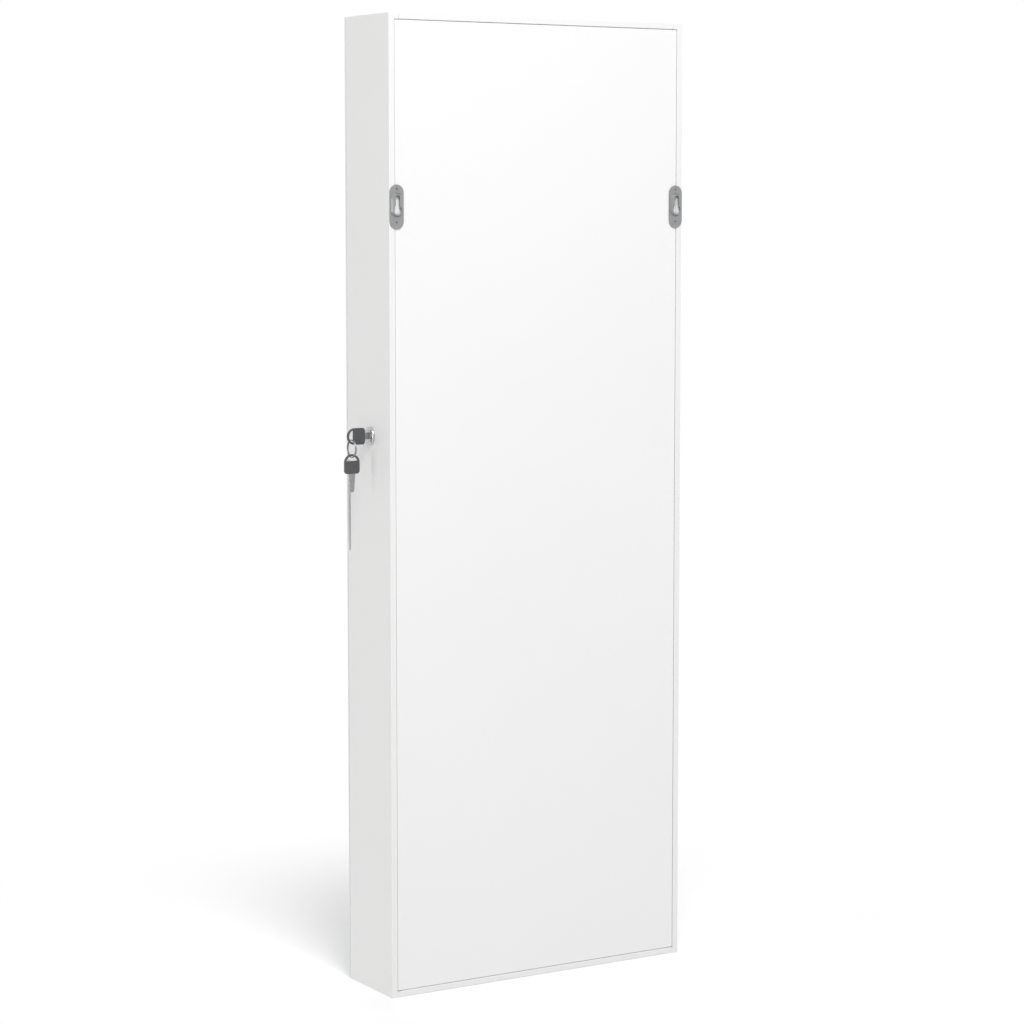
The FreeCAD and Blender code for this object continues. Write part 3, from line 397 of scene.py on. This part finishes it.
def cross_recess(shape, top):
    """Sinks a tapering cross into the flat face at the top, which faces +Z."""
    flush = top - 1e-6
    for across in (Vector((1, 0, 0)), Vector((0, 1, 0))):
        for offset in (-recess_reach, -recess_half, recess_half, recess_reach):
            lid = [face for face in shape.faces if face.calc_center_median().z > flush]
            near = with_edges(lid)
            bmesh.ops.bisect_plane(shape, geom=near, dist=1e-8, plane_co=across * offset,
                                   plane_no=across)
    cross = []
    for face in shape.faces:
        middle = face.calc_center_median()
        spread = sorted((abs(middle.x), abs(middle.y)))
        if middle.z > flush and spread[0] < recess_half and spread[1] < recess_reach:
            cross.append(face)
    sunk = bmesh.ops.extrude_face_region(shape, geom=cross)["geom"]
    low = [part for part in sunk if isinstance(part, bmesh.types.BMVert)]
    bmesh.ops.delete(shape, geom=[face for face in cross if face.is_valid], context="FACES_ONLY")
    bmesh.ops.translate(shape, verts=low, vec=(0, 0, -recess_depth))
    bmesh.ops.scale(shape, verts=low, vec=(0.55, 0.55, 1))


def wood_screw(point, direction, length):
    """Screw driven along the direction, its head flush at the point."""
    outline = [(0, 0), (screw_head - screw_rim, 0), (screw_head, -screw_rim),
               (screw_shank, screw_shank - screw_head - screw_rim),
               (screw_shank, screw_point - length), (0, -length)]
    shape = turned(outline, 20)
    cross_recess(shape, 0.0)
    return placed(shape, point, [-part for part in direction])


hanger_x = 179
hanger_seat = 51
fitting_screw = 12               # lengths of the longer screws and of those in the door and hinges
leaf_screw = 9
plate_screws = [wood_screw((side * hanger_x, hanger_seat, z), (0, -1, 0), fitting_screw)
                for side in (-1, 1) for z in (839.5, 875)]
made(joined(plate_screws), "hanger_screw_set", "carcass", zinc, "hanger_screws")

plated = Finish("zinc_steel", {"Metallic": 1.0})
dull = plated.grain(500.0, 3.0)
# Colour: random dulling, and rounded edges lighter, partly as rubbed wear and partly as a painted
# highlight.
plated.feed("Base Color", plated.between((0.5, 0.5, 0.49), (0.66, 0.66, 0.64),
                                         (dull + plated.rim * 0.4).least(1.0)))
plated.feed("Roughness", dull * 0.22 + 0.26)
plated.relief(dull, 0.00003)


# Front bumpers
# Soft clear studs pressed into the front edges, which the closed door rests against.

rubber = Finish("clear_rubber", {"Transmission Weight": 0.35, "IOR": 1.45})
dust = rubber.grain(600.0, 3.0)
rubber.feed("Base Color", rubber.between((0.68, 0.68, 0.66), (0.8, 0.8, 0.78), dust))
rubber.feed("Roughness", dust * 0.2 + 0.35)
rubber.relief(dust, 0.00005)
front_edge = -46.2
dome = [(0, 0.5), (1.6, 0.5), (2.5, 0.44), (3.1, 0.3), (3.45, 0.12), (3.5, 0.0), (2.0, 0.0),
        (2.0, -6.0), (0, -6.0)]
studs = [placed(turned(dome), (x, front_edge, z), (0, -1, 0))
         for x, z in ((181.5, 30), (181.5, 1030), (0, 6), (0, 1054))]
made(joined(studs), "bumper_studs", "carcass", rubber, "front_bumpers")


# Shelves, lips and divider
# Thinner boards of the same laminate, housed in the sides; the lips keep bottles and boxes in.

for board in ("lower_shelf", "middle_shelf", "tray_shelf", "upper_shelf", "bottom_lip",
              "lower_shelf_lip", "upper_shelf_lip", "bay_divider"):
    eased(board, "carcass", laminate, 0.5 * mm)


# Necklace rail and hooks
# White rail screwed through the lining, with ten chromed wire hooks, each behind a small collar.

rail_face = 33.0
hook_level = 884.0
hook_wire = 1.1
hook_bend = 4.0
hook_pitch = 31.0
hook_count = 10
eased("necklace_rail", "carcass", laminate, 0.8 * mm, screw_holes, 3)
rail_screws = [wood_screw((x, rail_face, hook_level), (0, 1, 0), 16)
               for x in (-124, 0, 124)]
made(joined(rail_screws), "necklace_rail_screw_set", "carcass", plated, "necklace_rail_screws")

chrome = Finish("hook_chrome", {"Metallic": 1.0})
smear = chrome.grain(300.0, 3.0)
chrome.feed("Base Color", chrome.between((0.72, 0.73, 0.74), (0.82, 0.83, 0.84), smear))
chrome.feed("Roughness", smear * 0.08 + 0.06)


def wire_hook(x):
    """Round wire: straight out of the rail, bent up, with a rounded tip."""
    shape = bmesh.new()
    ring = bmesh.ops.create_circle(shape, segments=12, radius=hook_wire * mm)["verts"]
    placed(shape, (x, rail_face + 1, hook_level), (0, -1, 0))
    edges = list({edge for vert in ring for edge in vert.link_edges})

    def drawn(edges, move, size=1.0):
        out = bmesh.ops.extrude_edge_only(shape, edges=edges)["geom"]
        verts = [part for part in out if isinstance(part, bmesh.types.BMVert)]
        bmesh.ops.translate(shape, verts=verts, vec=Vector(move) * mm)
        middle = sum((vert.co for vert in verts), Vector()) / len(verts)
        bmesh.ops.scale(shape, verts=verts, vec=(size, size, size),
                        space=Matrix.Translation(-middle))
        return [part for part in out if isinstance(part, bmesh.types.BMEdge)]

    edges = drawn(edges, (0, -13, 0))
    centre = Vector((x, rail_face - 12, hook_level + hook_bend)) * mm
    bend = bmesh.ops.spin(shape, geom=edges + list({vert for edge in edges for vert in edge.verts}),
                          axis=(1, 0, 0), cent=centre, dvec=(0, 0, 0), angle=-math.pi / 2, steps=8,
                          use_duplicate=False)["geom_last"]
    edges = [part for part in bend if isinstance(part, bmesh.types.BMEdge)]
    edges = drawn(edges, (0, 0, 3.2))
    for rise, size in ((0.45, 0.9), (0.25, 0.7), (0.1, 0.4)):
        edges = drawn(edges, (0, 0, rise), size)
    bmesh.ops.holes_fill(shape, edges=open_edges(shape))
    bmesh.ops.recalc_face_normals(shape, faces=shape.faces)
    collar = turned([(0, 1.0), (2.4, 1.0), (2.9, 0.6), (3.0, 0), (0, 0)], 20)
    return joined([shape, placed(collar, (x, rail_face, hook_level), (0, -1, 0))])


hooks = [wire_hook(hook_pitch * (index - (hook_count - 1) / 2)) for index in range(hook_count)]
made(joined(hooks), "wire_hooks", "carcass", chrome, "necklace_hooks")


# Ring tray and rolls
# Shallow white tray that leans back on two wedges, filled with six velvet rolls; rings stand
# between them. The rolls are foam in velvet, flat where they lie on the tray's floor.

eased("ring_tray", "carcass", laminate, 0.5 * mm)
eased("ring_tray_feet", "carcass", laminate, 0.4 * mm)

velvet = Finish("velvet", {"Roughness": 0.9, "Sheen Weight": 0.8, "Sheen Roughness": 0.35})
pile = velvet.grain(1800.0, 2.0)
brushed = velvet.grain(35.0, 3.0)
velvet.feed("Base Color", velvet.between((0.2, 0.185, 0.18), (0.38, 0.36, 0.345),
                                         (pile * 0.4 + brushed * 0.6).least(1.0)))
velvet.relief(pile * 0.5 + brushed * 0.4, 0.0003, 0.6)

tray_slope = math.radians(62)
tray_foot = Vector((0, 44.5 - 92 * math.cos(tray_slope), 409)) * mm
tray_wall = 3.0
tray_inside = 86.0
roll_count = 6
roll_radius = 6.767
roll_length = 293.2
roll_sinks = 0.8                 # how far a roll is pressed flat on the tray's floor
roll_swell = 0.16
rolls = []
for index in range(roll_count):
    outline = [(0, 0), (3.6, 0.3), (5.4, 1.1), (6.3, 2.4)]
    for step in range(37):
        share = step / 36
        wave = math.cos(2 * math.pi * (share * 9 + index * 0.37))
        along = 4 + share * (roll_length - 8)
        outline.append((roll_radius - roll_swell - roll_swell * wave, along))
    outline += [(radius, roll_length - height) for radius, height in reversed(outline[:4])]
    y = tray_wall + (index + 0.5) * tray_inside / roll_count
    roll = placed(turned(outline, 24), (-roll_length / 2, y, tray_wall + roll_radius - roll_sinks),
                  (1, 0, 0))
    for vert in roll.verts:
        vert.co.z = max(vert.co.z, (tray_wall + 0.02) * mm)
    lean = Matrix.Translation(tray_foot) @ Matrix.Rotation(tray_slope, 4, "X")
    bmesh.ops.transform(roll, matrix=lean, verts=roll.verts)
    rolls.append(roll)
roll_set = made(joined(rolls), "velvet_rolls", "carcass", velvet, "ring_rolls")


# Bracelet bar
# Foam-covered bar in velvet with a sewn seam underneath, held at both ends in white cups.

bar_y = 8.0
bar_z = 360.0
bar_reach = 172.2
bar_radius = 10.82
bar_ripple = 0.14
seam_reach = 160.0               # half its length, as bar_reach is half the bar's
outline = [(0, 0), (9.6, 0), (10.4, 0.5)]
for step in range(61):
    share = step / 60
    wave = math.sin(share * 47) * math.sin(share * 19 + 1)
    outline.append((bar_radius + bar_ripple * wave, 1.5 + share * (2 * bar_reach - 3)))
outline += [(10.4, 2 * bar_reach - 0.5), (9.6, 2 * bar_reach), (0, 2 * bar_reach)]
seam = turned([(0, 0), (0.7, 0.4), (0.7, 2 * seam_reach - 0.4), (0, 2 * seam_reach)], 8)
bar = joined([placed(turned(outline, 40), (-bar_reach, bar_y, bar_z), (1, 0, 0)),
              placed(seam, (-seam_reach, bar_y, bar_z - 10.7), (1, 0, 0))])
bar_piece = made(bar, "padded_bar", "carcass", velvet, "bracelet_bar")

plastic = Finish("white_plastic", {"Specular IOR Level": 0.45})
mould = plastic.grain(700.0, 2.0)
plastic.feed("Base Color", plastic.between((0.82, 0.82, 0.81), (0.87, 0.87, 0.86), mould))
plastic.feed("Roughness", mould * 0.12 + 0.38)
plastic.relief(mould, 0.00004)
inner_side = 175.5
cup_floor = 3.0
cup = [(0, 0), (14.5, 0), (14.5, 10.6), (14.1, 11.6), (13.4, 12), (12.5, 12), (11.9, 11.6),
       (11.6, 10.8), (11.6, cup_floor), (0, cup_floor)]
cups = [placed(turned(cup, 40), (side * inner_side, bar_y, bar_z), (-side, 0, 0))
        for side in (-1, 1)]
made(joined(cups), "end_cups", "carcass", plastic, "bar_sockets")


# Magnetic catch
# White housing screwed inside the lock side, with a ferrite block between two steel poles.

eased("catch_housing", "carcass", plastic, 0.5 * mm, screw_holes)
ferrite = Finish("magnet", {"Metallic": 0.2})
grit = ferrite.grain(1200.0, 4.0)
ferrite.feed("Base Color", ferrite.between((0.06, 0.06, 0.065), (0.15, 0.15, 0.155), grit))
ferrite.feed("Roughness", grit * 0.3 + 0.5)
ferrite.relief(grit, 0.0001)
ferrite.coat("catch_magnet")
bare_steel = Finish("pole_steel", {"Metallic": 1.0})
scratch = bare_steel.grain(900.0, 3.0, (1, 1, 0.05))
bare_steel.feed("Base Color", bare_steel.between((0.46, 0.46, 0.46), (0.62, 0.62, 0.62), scratch))
bare_steel.feed("Roughness", scratch * 0.2 + 0.28)
bare_steel.relief(scratch, 0.00004)
bare_steel.coat("catch_poles")
eased("catch_strike", "door", bare_steel, 0.2 * mm, screw_holes)
catch_ear = 171.5
catch_y = -24.2
catch_z = 843
fittings = [wood_screw((side * (inner_side - cup_floor), bar_y, bar_z), (side, 0, 0), fitting_screw)
            for side in (-1, 1)]
fittings += [wood_screw((catch_ear, catch_y, catch_z + rise), (1, 0, 0), fitting_screw)
             for rise in (-19, 19)]
made(joined(fittings), "fitting_screw_set", "carcass", plated, "fitting_screws")


# Hinges
# Three nickel-plated butt hinges between the hinge side and the door, with proud knuckles beside
# the mirror's edge. Each leaf is a stamped plate with its knuckles rolled from the same sheet.

nickel = Finish("hinge_steel", {"Metallic": 1.0})
rub = nickel.grain(800.0, 3.0, (1, 0.08, 1))
# Colour: random rubbing, and rounded edges lighter, partly as rubbed wear and partly as a painted
# highlight.
nickel.feed("Base Color", nickel.between((0.5, 0.5, 0.49), (0.7, 0.7, 0.69),
                                         (rub * 0.7 + nickel.rim * 0.4).least(1.0)))
nickel.feed("Roughness", rub * 0.18 + 0.22)
nickel.relief(rub, 0.00003)
hinge_x = -174.4
hinge_y = -49.7
hinge_heights = (120, 530, 940)
leaf_length = 50
leaf_width = 12
leaf_middle = -41
leaf_corner = 3
knuckle_length = leaf_length / 3
knuckle_gap = 0.3
tab_width = 2.8
tab_middle = -48.35
carcass_leaf = (-175.5, -174.6)  # from the leaf's back to the side where the screws go in
door_leaf = (-174.2, -173.3)
leaf_screw_rises = (-17, 17)


def block(x_span, middle_y, middle_z, width, height):
    shape = bmesh.new()
    bmesh.ops.create_cube(shape, size=1.0)
    size = Vector((x_span[1] - x_span[0], width, height)) * mm
    bmesh.ops.scale(shape, verts=shape.verts, vec=size)
    middle = Vector((sum(x_span) / 2, middle_y, middle_z)) * mm
    bmesh.ops.translate(shape, verts=shape.verts, vec=middle)
    return shape


def hinge_leaf(middle, x_span, turns):
    """Plate with rounded far corners, and its knuckles on the pin's axis."""
    plate = block(x_span, leaf_middle, middle, leaf_width, leaf_length)
    far = [edge for edge in plate.edges if all(vert.co.y > leaf_middle * mm for vert in edge.verts)
           and abs(edge.verts[0].co.x - edge.verts[1].co.x) > 0.1 * mm]
    bmesh.ops.bevel(plate, geom=far, offset=leaf_corner * mm, offset_type="OFFSET", segments=5,
                    profile=0.5, affect="EDGES", material=-1)
    ease(plate, 0.15 * mm)
    parts = [plate]
    for index in turns:
        low = middle - leaf_length / 2 + index * knuckle_length + knuckle_gap / 2
        length = knuckle_length - knuckle_gap
        tab = block(x_span, tab_middle, low + length / 2, tab_width, length)
        rolled = [(1.25, 0), (2.2, 0), (2.4, 0.25), (2.4, length - 0.25), (2.2, length),
                  (1.25, length), (1.25, 0)]
        parts += [tab, placed(turned(rolled, 32), (hinge_x, hinge_y, low), (0, 0, 1))]
    return joined(parts)


def leaf_screws(x, direction):
    return [wood_screw((x, leaf_middle, z + rise), direction, leaf_screw)
            for z in hinge_heights for rise in leaf_screw_rises]


made(joined([hinge_leaf(z, carcass_leaf, (0, 2)) for z in hinge_heights]), "fixed_leaves",
     "carcass", nickel, "hinge_leaves_carcass")
made(joined([hinge_leaf(z, door_leaf, (1,)) for z in hinge_heights]), "door_leaves", "door",
     nickel, "hinge_leaves_door")
nickel.coat("hinge_pins")
side_screws = leaf_screws(carcass_leaf[1], (-1, 0, 0))
made(joined(side_screws), "hinge_side_screw_set", "carcass", nickel, "hinge_screws_carcass")


# Lock
# Chromed cam lock through the lock side: a domed head, a threaded barrel with two flats, a plug
# with the keyway, a nut, and a steel cam held by a screw with a cross recess.

lock_x = 187.5
lock_y = 6.0
lock_z = 610.0
bore = 6.05                      # radii of the plug's bore and of the thread outside
thread_root = 7.55
thread_crest = 8.0
thread_turns = 19
barrel_end = -20.0
barrel_flat = 6.75               # barrel's axis to each of its two flats
lock_plate = Finish("lock_chrome", {"Metallic": 1.0})
breath = lock_plate.grain(260.0, 3.0)
# Colour: random breath marks, and rounded edges lighter, partly as rubbed wear and partly as a
# painted highlight.
lock_plate.feed("Base Color", lock_plate.between((0.42, 0.425, 0.43), (0.6, 0.605, 0.61),
                                                 (breath + lock_plate.rim * 0.4).least(1.0)))
lock_plate.feed("Roughness", breath * 0.14 + 0.1)
lock_plate.relief(breath, 0.00002)
shell = [(bore, 2.7), (6.5, 3.0), (7.9, 3.0), (8.9, 2.75), (9.6, 2.2), (9.95, 1.4), (10.0, 0.5),
         (9.9, 0.0), (thread_crest, 0.0), (thread_crest, -1.0)]
for pitch in range(thread_turns):
    shell += [(thread_root, -1.25 - pitch), (thread_crest, -1.75 - pitch)]
shell += [(7.6, barrel_end), (bore, barrel_end), (bore, 2.7)]
barrel = turned(shell, 48)
for side in (-1, 1):
    flat = Vector((side, 0, 0))
    behind_head = [face for face in barrel.faces if face.calc_center_median().z < -0.01 * mm]
    bmesh.ops.bisect_plane(barrel, geom=with_edges(behind_head), dist=1e-8,
                           plane_co=flat * barrel_flat * mm, plane_no=flat, clear_outer=True)
    bmesh.ops.holes_fill(barrel, edges=open_edges(barrel))
turn_flats = Matrix.Rotation(math.pi / 2, 4, "Z")
bmesh.ops.transform(barrel, matrix=turn_flats, verts=barrel.verts)
made(placed(barrel, (lock_x, lock_y, lock_z), (1, 0, 0)), "threaded_barrel", "carcass", lock_plate,
     "lock_barrel")
eased("lock_nut", "carcass", plated, 0.3 * mm)
eased("lock_plug", "plug", lock_plate, 0.25 * mm)
eased("lock_cam", "plug", plated, 0.2 * mm)
cam_face = 164.7
pan_top = 2.4
pan = turned([(0, pan_top), (2.2, pan_top), (3.2, 2.0), (3.85, 1.2), (4.0, 0.4), (4.0, 0), (1.9, 0),
              (1.9, -5.5), (0, -5.5)])
cross_recess(pan, pan_top * mm)
made(placed(pan, (cam_face, lock_y, lock_z), (-1, 0, 0)), "cam_screw_pan_head", "plug", plated,
     "cam_screw")


# Keys and ring
# Nickel-plated blades moulded into dark grey grips with a D-shaped window. One key stands in the
# lock; the other hangs from it on a split ring of two turns of round wire.

grip = Finish("key_grip", {"Specular IOR Level": 0.5})
leather = grip.grain(1400.0, 2.0)
wear = grip.grain(160.0, 3.0)
# Colour: random wear, and rounded edges lighter, partly as rubbed wear and partly as a painted
# highlight.
grip.feed("Base Color", grip.between((0.052, 0.053, 0.056), (0.115, 0.116, 0.12),
                                     (wear * 0.5 + grip.rim * 0.35).least(1.0)))
grip.feed("Roughness", leather * 0.15 + 0.4 - grip.rim * 0.08)
grip.relief(leather, 0.00008)


def moulded_grip(bow, blade, body):
    """The grip as one closed form, with the room for the blade's tang closed and edges rounded."""
    slack = 0.02 * mm
    shape = merged(bow)
    bow_low, bow_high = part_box(bow)
    blade_low, blade_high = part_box(blade)
    low = [max(pair) - slack for pair in zip(bow_low, blade_low)]
    high = [min(pair) + slack for pair in zip(bow_high, blade_high)]
    tang = [vert for vert in shape.verts
            if all(low[axis] <= vert.co[axis] <= high[axis] for axis in range(3))]
    bmesh.ops.delete(shape, geom=tang, context="VERTS")
    bmesh.ops.holes_fill(shape, edges=open_edges(shape))
    bmesh.ops.recalc_face_normals(shape, faces=shape.faces)
    ease(shape, 0.8 * mm, 0.0, 3)
    return made(shape, bow + "_grip", body, grip, bow)


moulded_grip("key_bow", "key_blade", "key")
moulded_grip("spare_key_bow", "spare_key_blade", "spare_key")
blade_steel = Finish("key_steel", {"Metallic": 1.0})
filed = blade_steel.grain(1300.0, 2.0, (1, 1, 0.15))
blade_steel.feed("Base Color", blade_steel.between((0.26, 0.26, 0.265), (0.44, 0.44, 0.445), filed))
blade_steel.feed("Roughness", filed * 0.2 + 0.22)
blade_steel.relief(filed, 0.00004)
eased("key_blade", "key", blade_steel, 0.15 * mm)
eased("spare_key_blade", "spare_key", blade_steel, 0.15 * mm)

ring_x = 210.5
ring_z = 596.95
ring_radius = 9.375
wire = 0.6
cross_over = 10                  # steps in which the wire moves over to its second turn
ring = bmesh.new()
bmesh.ops.create_circle(ring, segments=12, radius=wire * mm)
placed(ring, (ring_x - wire, lock_y, ring_z - ring_radius), (0, 1, 0))
end = list(ring.verts) + list(ring.edges)
for angle, steps, shift in ((330, 44, 0), (50, cross_over, 2.02 * wire / cross_over), (330, 44, 0)):
    end = bmesh.ops.spin(ring, geom=end, axis=(1, 0, 0), cent=Vector((ring_x, lock_y, ring_z)) * mm,
                         dvec=(shift * mm, 0, 0), angle=math.radians(angle), steps=steps,
                         use_duplicate=False)["geom_last"]
bmesh.ops.holes_fill(ring, edges=open_edges(ring))
bmesh.ops.recalc_face_normals(ring, faces=ring.faces)
made(ring, "wire_ring", "ring", blade_steel, "split_ring")


# Door frame
# Half-lapped white frame behind the mirror, screwed to the hinges, with fittings on its inner side.

for board in ("door_stile_lock", "door_stile_hinge", "door_rail_top", "door_rail_bottom"):
    eased(board, "door", laminate, 0.5 * mm, screw_holes)

aluminium = Finish("rail_aluminium", {"Metallic": 1.0})
drawn_lines = aluminium.grain(1400.0, 2.0, (0.03, 1, 1))
aluminium.feed("Base Color", aluminium.between((0.66, 0.66, 0.67), (0.8, 0.8, 0.81), drawn_lines))
aluminium.feed("Roughness", drawn_lines * 0.18 + 0.26)
aluminium.relief(drawn_lines, 0.00003)
eased("earring_rails", "door", aluminium, 0.15 * mm)

acrylic = Finish("clear_pocket", {"Specular IOR Level": 0.5, "Coat Weight": 0.3})
mist = acrylic.grain(240.0, 3.0)
acrylic.feed("Base Color", acrylic.between((0.84, 0.84, 0.84), (0.89, 0.89, 0.89), mist))
acrylic.feed("Roughness", mist * 0.1 + 0.12 + acrylic.rim * 0.1)
eased("door_pocket", "door", acrylic, 0.4 * mm)

eased("lock_keeper", "door", plated, 0.25 * mm, 1.0 * mm)
pin_head = 0.8
pin_y = -26.0
keeper = [(0, -pin_head), (2.6, -pin_head), (3.0, -0.45), (3.0, 0), (2.0, 0), (2.0, 14.7),
          (1.7, 15.0), (0, 15.0)]
pin_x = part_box("keeper_pin")[0].x / mm + pin_head
made(placed(turned(keeper, 28), (pin_x, pin_y, lock_z), (1, 0, 0)), "keeper_cross_pin", "door",
     plated, "keeper_pin")

plate_face = -33.5               # the keeper's and the earring rails' faces
strike_face = -34.0
on_frame = [(165.95, plate_face, lock_z + rise) for rise in (-14, 14)]
on_frame += [(168.5, strike_face, catch_z + rise) for rise in (-12, 12)]
on_frame += [(x, plate_face, z + 10) for z in (300, 400, 720) for x in (-149.3, 150)]
door_fixings = leaf_screws(door_leaf[0], (1, 0, 0))
door_fixings += [wood_screw(point, (0, -1, 0), leaf_screw) for point in on_frame]
made(joined(door_fixings), "door_screw_set", "door", plated, "door_screws")


# Mirror
# Silvered float glass with a narrow bevel, glued to the whole frame and reaching over the carcass's
# edges. The cut edges show the glass's faint green; pale paint protects the silver behind.

silver = Finish("mirror_glass", {"Metallic": 1.0, "Coat Weight": 0.6, "Coat Roughness": 0.02})
film = silver.grain(3.0, 2.0)
silver.feed("Base Color", silver.between((0.8, 0.82, 0.82), (0.85, 0.87, 0.87), film))
silver.feed("Roughness", film * 0.02 + 0.01)
cut_glass = Finish("mirror_glass", {"Roughness": 0.25, "IOR": 1.5}, "glass_edge")
ripple = cut_glass.grain(400.0, 3.0, (1, 1, 0.2))
cut_glass.feed("Base Color", cut_glass.between((0.8, 0.84, 0.825), (0.87, 0.9, 0.89), ripple))
cut_glass.relief(ripple, 0.00005)
back_paint = Finish("mirror_glass", {"Specular IOR Level": 0.3}, "mirror_back_paint")
roller = back_paint.grain(500.0, 3.0)
back_paint.feed("Base Color", back_paint.between((0.85, 0.85, 0.85), (0.9, 0.9, 0.9), roller))
back_paint.feed("Roughness", roller * 0.2 + 0.5)
back_paint.relief(roller, 0.0001)
glass = merged("mirror")
ease(glass, 0.12 * mm, 0.0, 1, 20)
plate = made(glass, "bevelled_mirror", "door", silver, "mirror")
edge_index = 1
back_index = 2
for other in (cut_glass, back_paint):
    plate.data.materials.append(other.material)
for face in plate.data.polygons:
    if face.normal.y > 0.9:
        face.material_index = back_index
    elif face.normal.y > -0.3:
        face.material_index = edge_index
